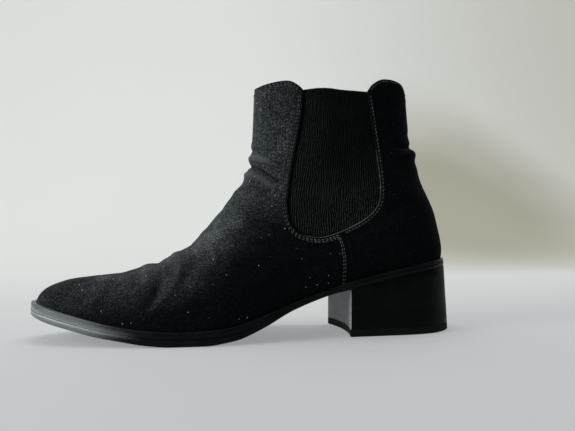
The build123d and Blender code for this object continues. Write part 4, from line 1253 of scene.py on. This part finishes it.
def cove_material():
    """Pale paper lit from within, so its shadows stay faint, its glow painted darker to the right and
    towards the front and with a painted brownish shadow; clear from behind or below.
    """
    m = Recipe("pale_paper", Roughness=0.9)
    m.shader.inputs["Base Color"].default_value = shade((0.19, 0.195, 0.19))
    m.shader.inputs["Emission Strength"].default_value = 1.0
    clouds = m.noise(3.0, 2.0, 0.5)
    tone = m.mix(clouds, (0.46, 0.48, 0.465), (0.49, 0.51, 0.49))
    # Painted shade: the glow darkens to the right, away from the window light.
    tone = m.mix(m.span(m.axis("X"), 0.1, 1.3), tone, (0.39, 0.39, 0.35))
    # Darker towards the front.
    tone = m.mix(m.span(m.axis("Y"), 1.1, -0.2), tone, (0.27, 0.285, 0.295))
    # Painted cast shadow of the boot: a soft brownish patch on the wall to the right.
    painted_shadow = m.near(PAINTED_SHADOW_MIDDLE, PAINTED_SHADOW_RADIUS, m.times(m.math("SUBTRACT", clouds, 0.5), 0.3))
    tone = m.mix(painted_shadow, tone, (0.14, 0.12, 0.055))
    m.set("Emission Color", tone)
    back = m.node("ShaderNodeNewGeometry").outputs["Backfacing"]
    clear = m.node("ShaderNodeBsdfTransparent").outputs[0]
    both = m.node("ShaderNodeMixShader", {0: back, 1: m.shader.outputs[0], 2: clear})
    m.tree.links.new(both.outputs[0], m.tree.nodes["Material Output"].inputs["Surface"])
    return m.material


def cove():
    """Floor that curves up into a wall behind the boot."""
    profile = [(FLOOR_FRONT, 0.0), (FLOOR_TURN, 0.0)]
    for k in range(1, 25):
        turn = k / 24 * math.pi / 2
        profile.append((FLOOR_TURN + COVE_RADIUS * math.sin(turn), COVE_RADIUS * (1 - math.cos(turn))))
    profile.append((FLOOR_TURN + COVE_RADIUS, COVE_TOP))
    mesh = bpy.data.meshes.new("paper_cove")
    vertices = [(x, y, z) for y, z in profile for x in (-COVE_HALF, COVE_HALF)]
    faces = [(2 * k, 2 * k + 1, 2 * k + 3, 2 * k + 2) for k in range(len(profile) - 1)]
    mesh.from_pydata(vertices, [], faces)
    mesh.polygons.foreach_set("use_smooth", [True] * len(faces))
    mesh.materials.append(cove_material())
    obj = bpy.data.objects.new("paper_cove", mesh)
    bpy.context.scene.collection.objects.link(obj)


def softbox(name, place, target, size, power, colour):
    light = bpy.data.lights.new(name, "AREA")
    light.shape = "RECTANGLE"
    light.size, light.size_y = size
    light.energy = power
    light.color = colour
    obj = bpy.data.objects.new(name, light)
    bpy.context.scene.collection.objects.link(obj)
    obj.location = place
    obj.rotation_euler = (Vector(target) - Vector(place)).to_track_quat("-Z", "Y").to_euler()


cove()
softbox("window_light", (-1.30, -0.42, 0.62), (0, 0, 0.08), (0.8, 1.15), 23.0, (1.0, 0.99, 0.97))
softbox("top_light", (-0.15, 0.25, 1.35), (0, 0.05, 0.05), (1.2, 1.0), 11.0, (0.96, 0.985, 1.0))
softbox("back_fill", (0.9, 0.7, 0.7), (0.05, 0, 0.08), (0.8, 0.8), 3.0, (0.98, 0.98, 1.0))
softbox("wall_wash", (0.0, 0.30, 1.9), (0.1, 1.3, 0.25), (1.8, 0.5), 13.0, (1.0, 1.0, 0.985))
world = bpy.data.worlds.new("studio_air")
bpy.context.scene.world = world
world.use_nodes = True
world.node_tree.nodes["Background"].inputs["Color"].default_value = (0.80, 0.83, 0.86, 1)
world.node_tree.nodes["Background"].inputs["Strength"].default_value = 0.14

camera_data = bpy.data.cameras.new("photo_camera")
camera_data.sensor_width = 36.0
camera_data.lens = 36.81
camera_data.clip_start = 0.01
camera = bpy.data.objects.new("photo_camera", camera_data)
bpy.context.scene.collection.objects.link(camera)
camera.matrix_world = Matrix(((0.9829, -0.0055, -0.1839, -0.05022), (-0.1840, -0.0292, -0.9825, -0.40128),
                              (0.0, 0.9996, -0.0297, 0.06806), (0, 0, 0, 1)))
bpy.context.scene.camera = camera
bpy.context.scene.view_settings.view_transform = "Standard"
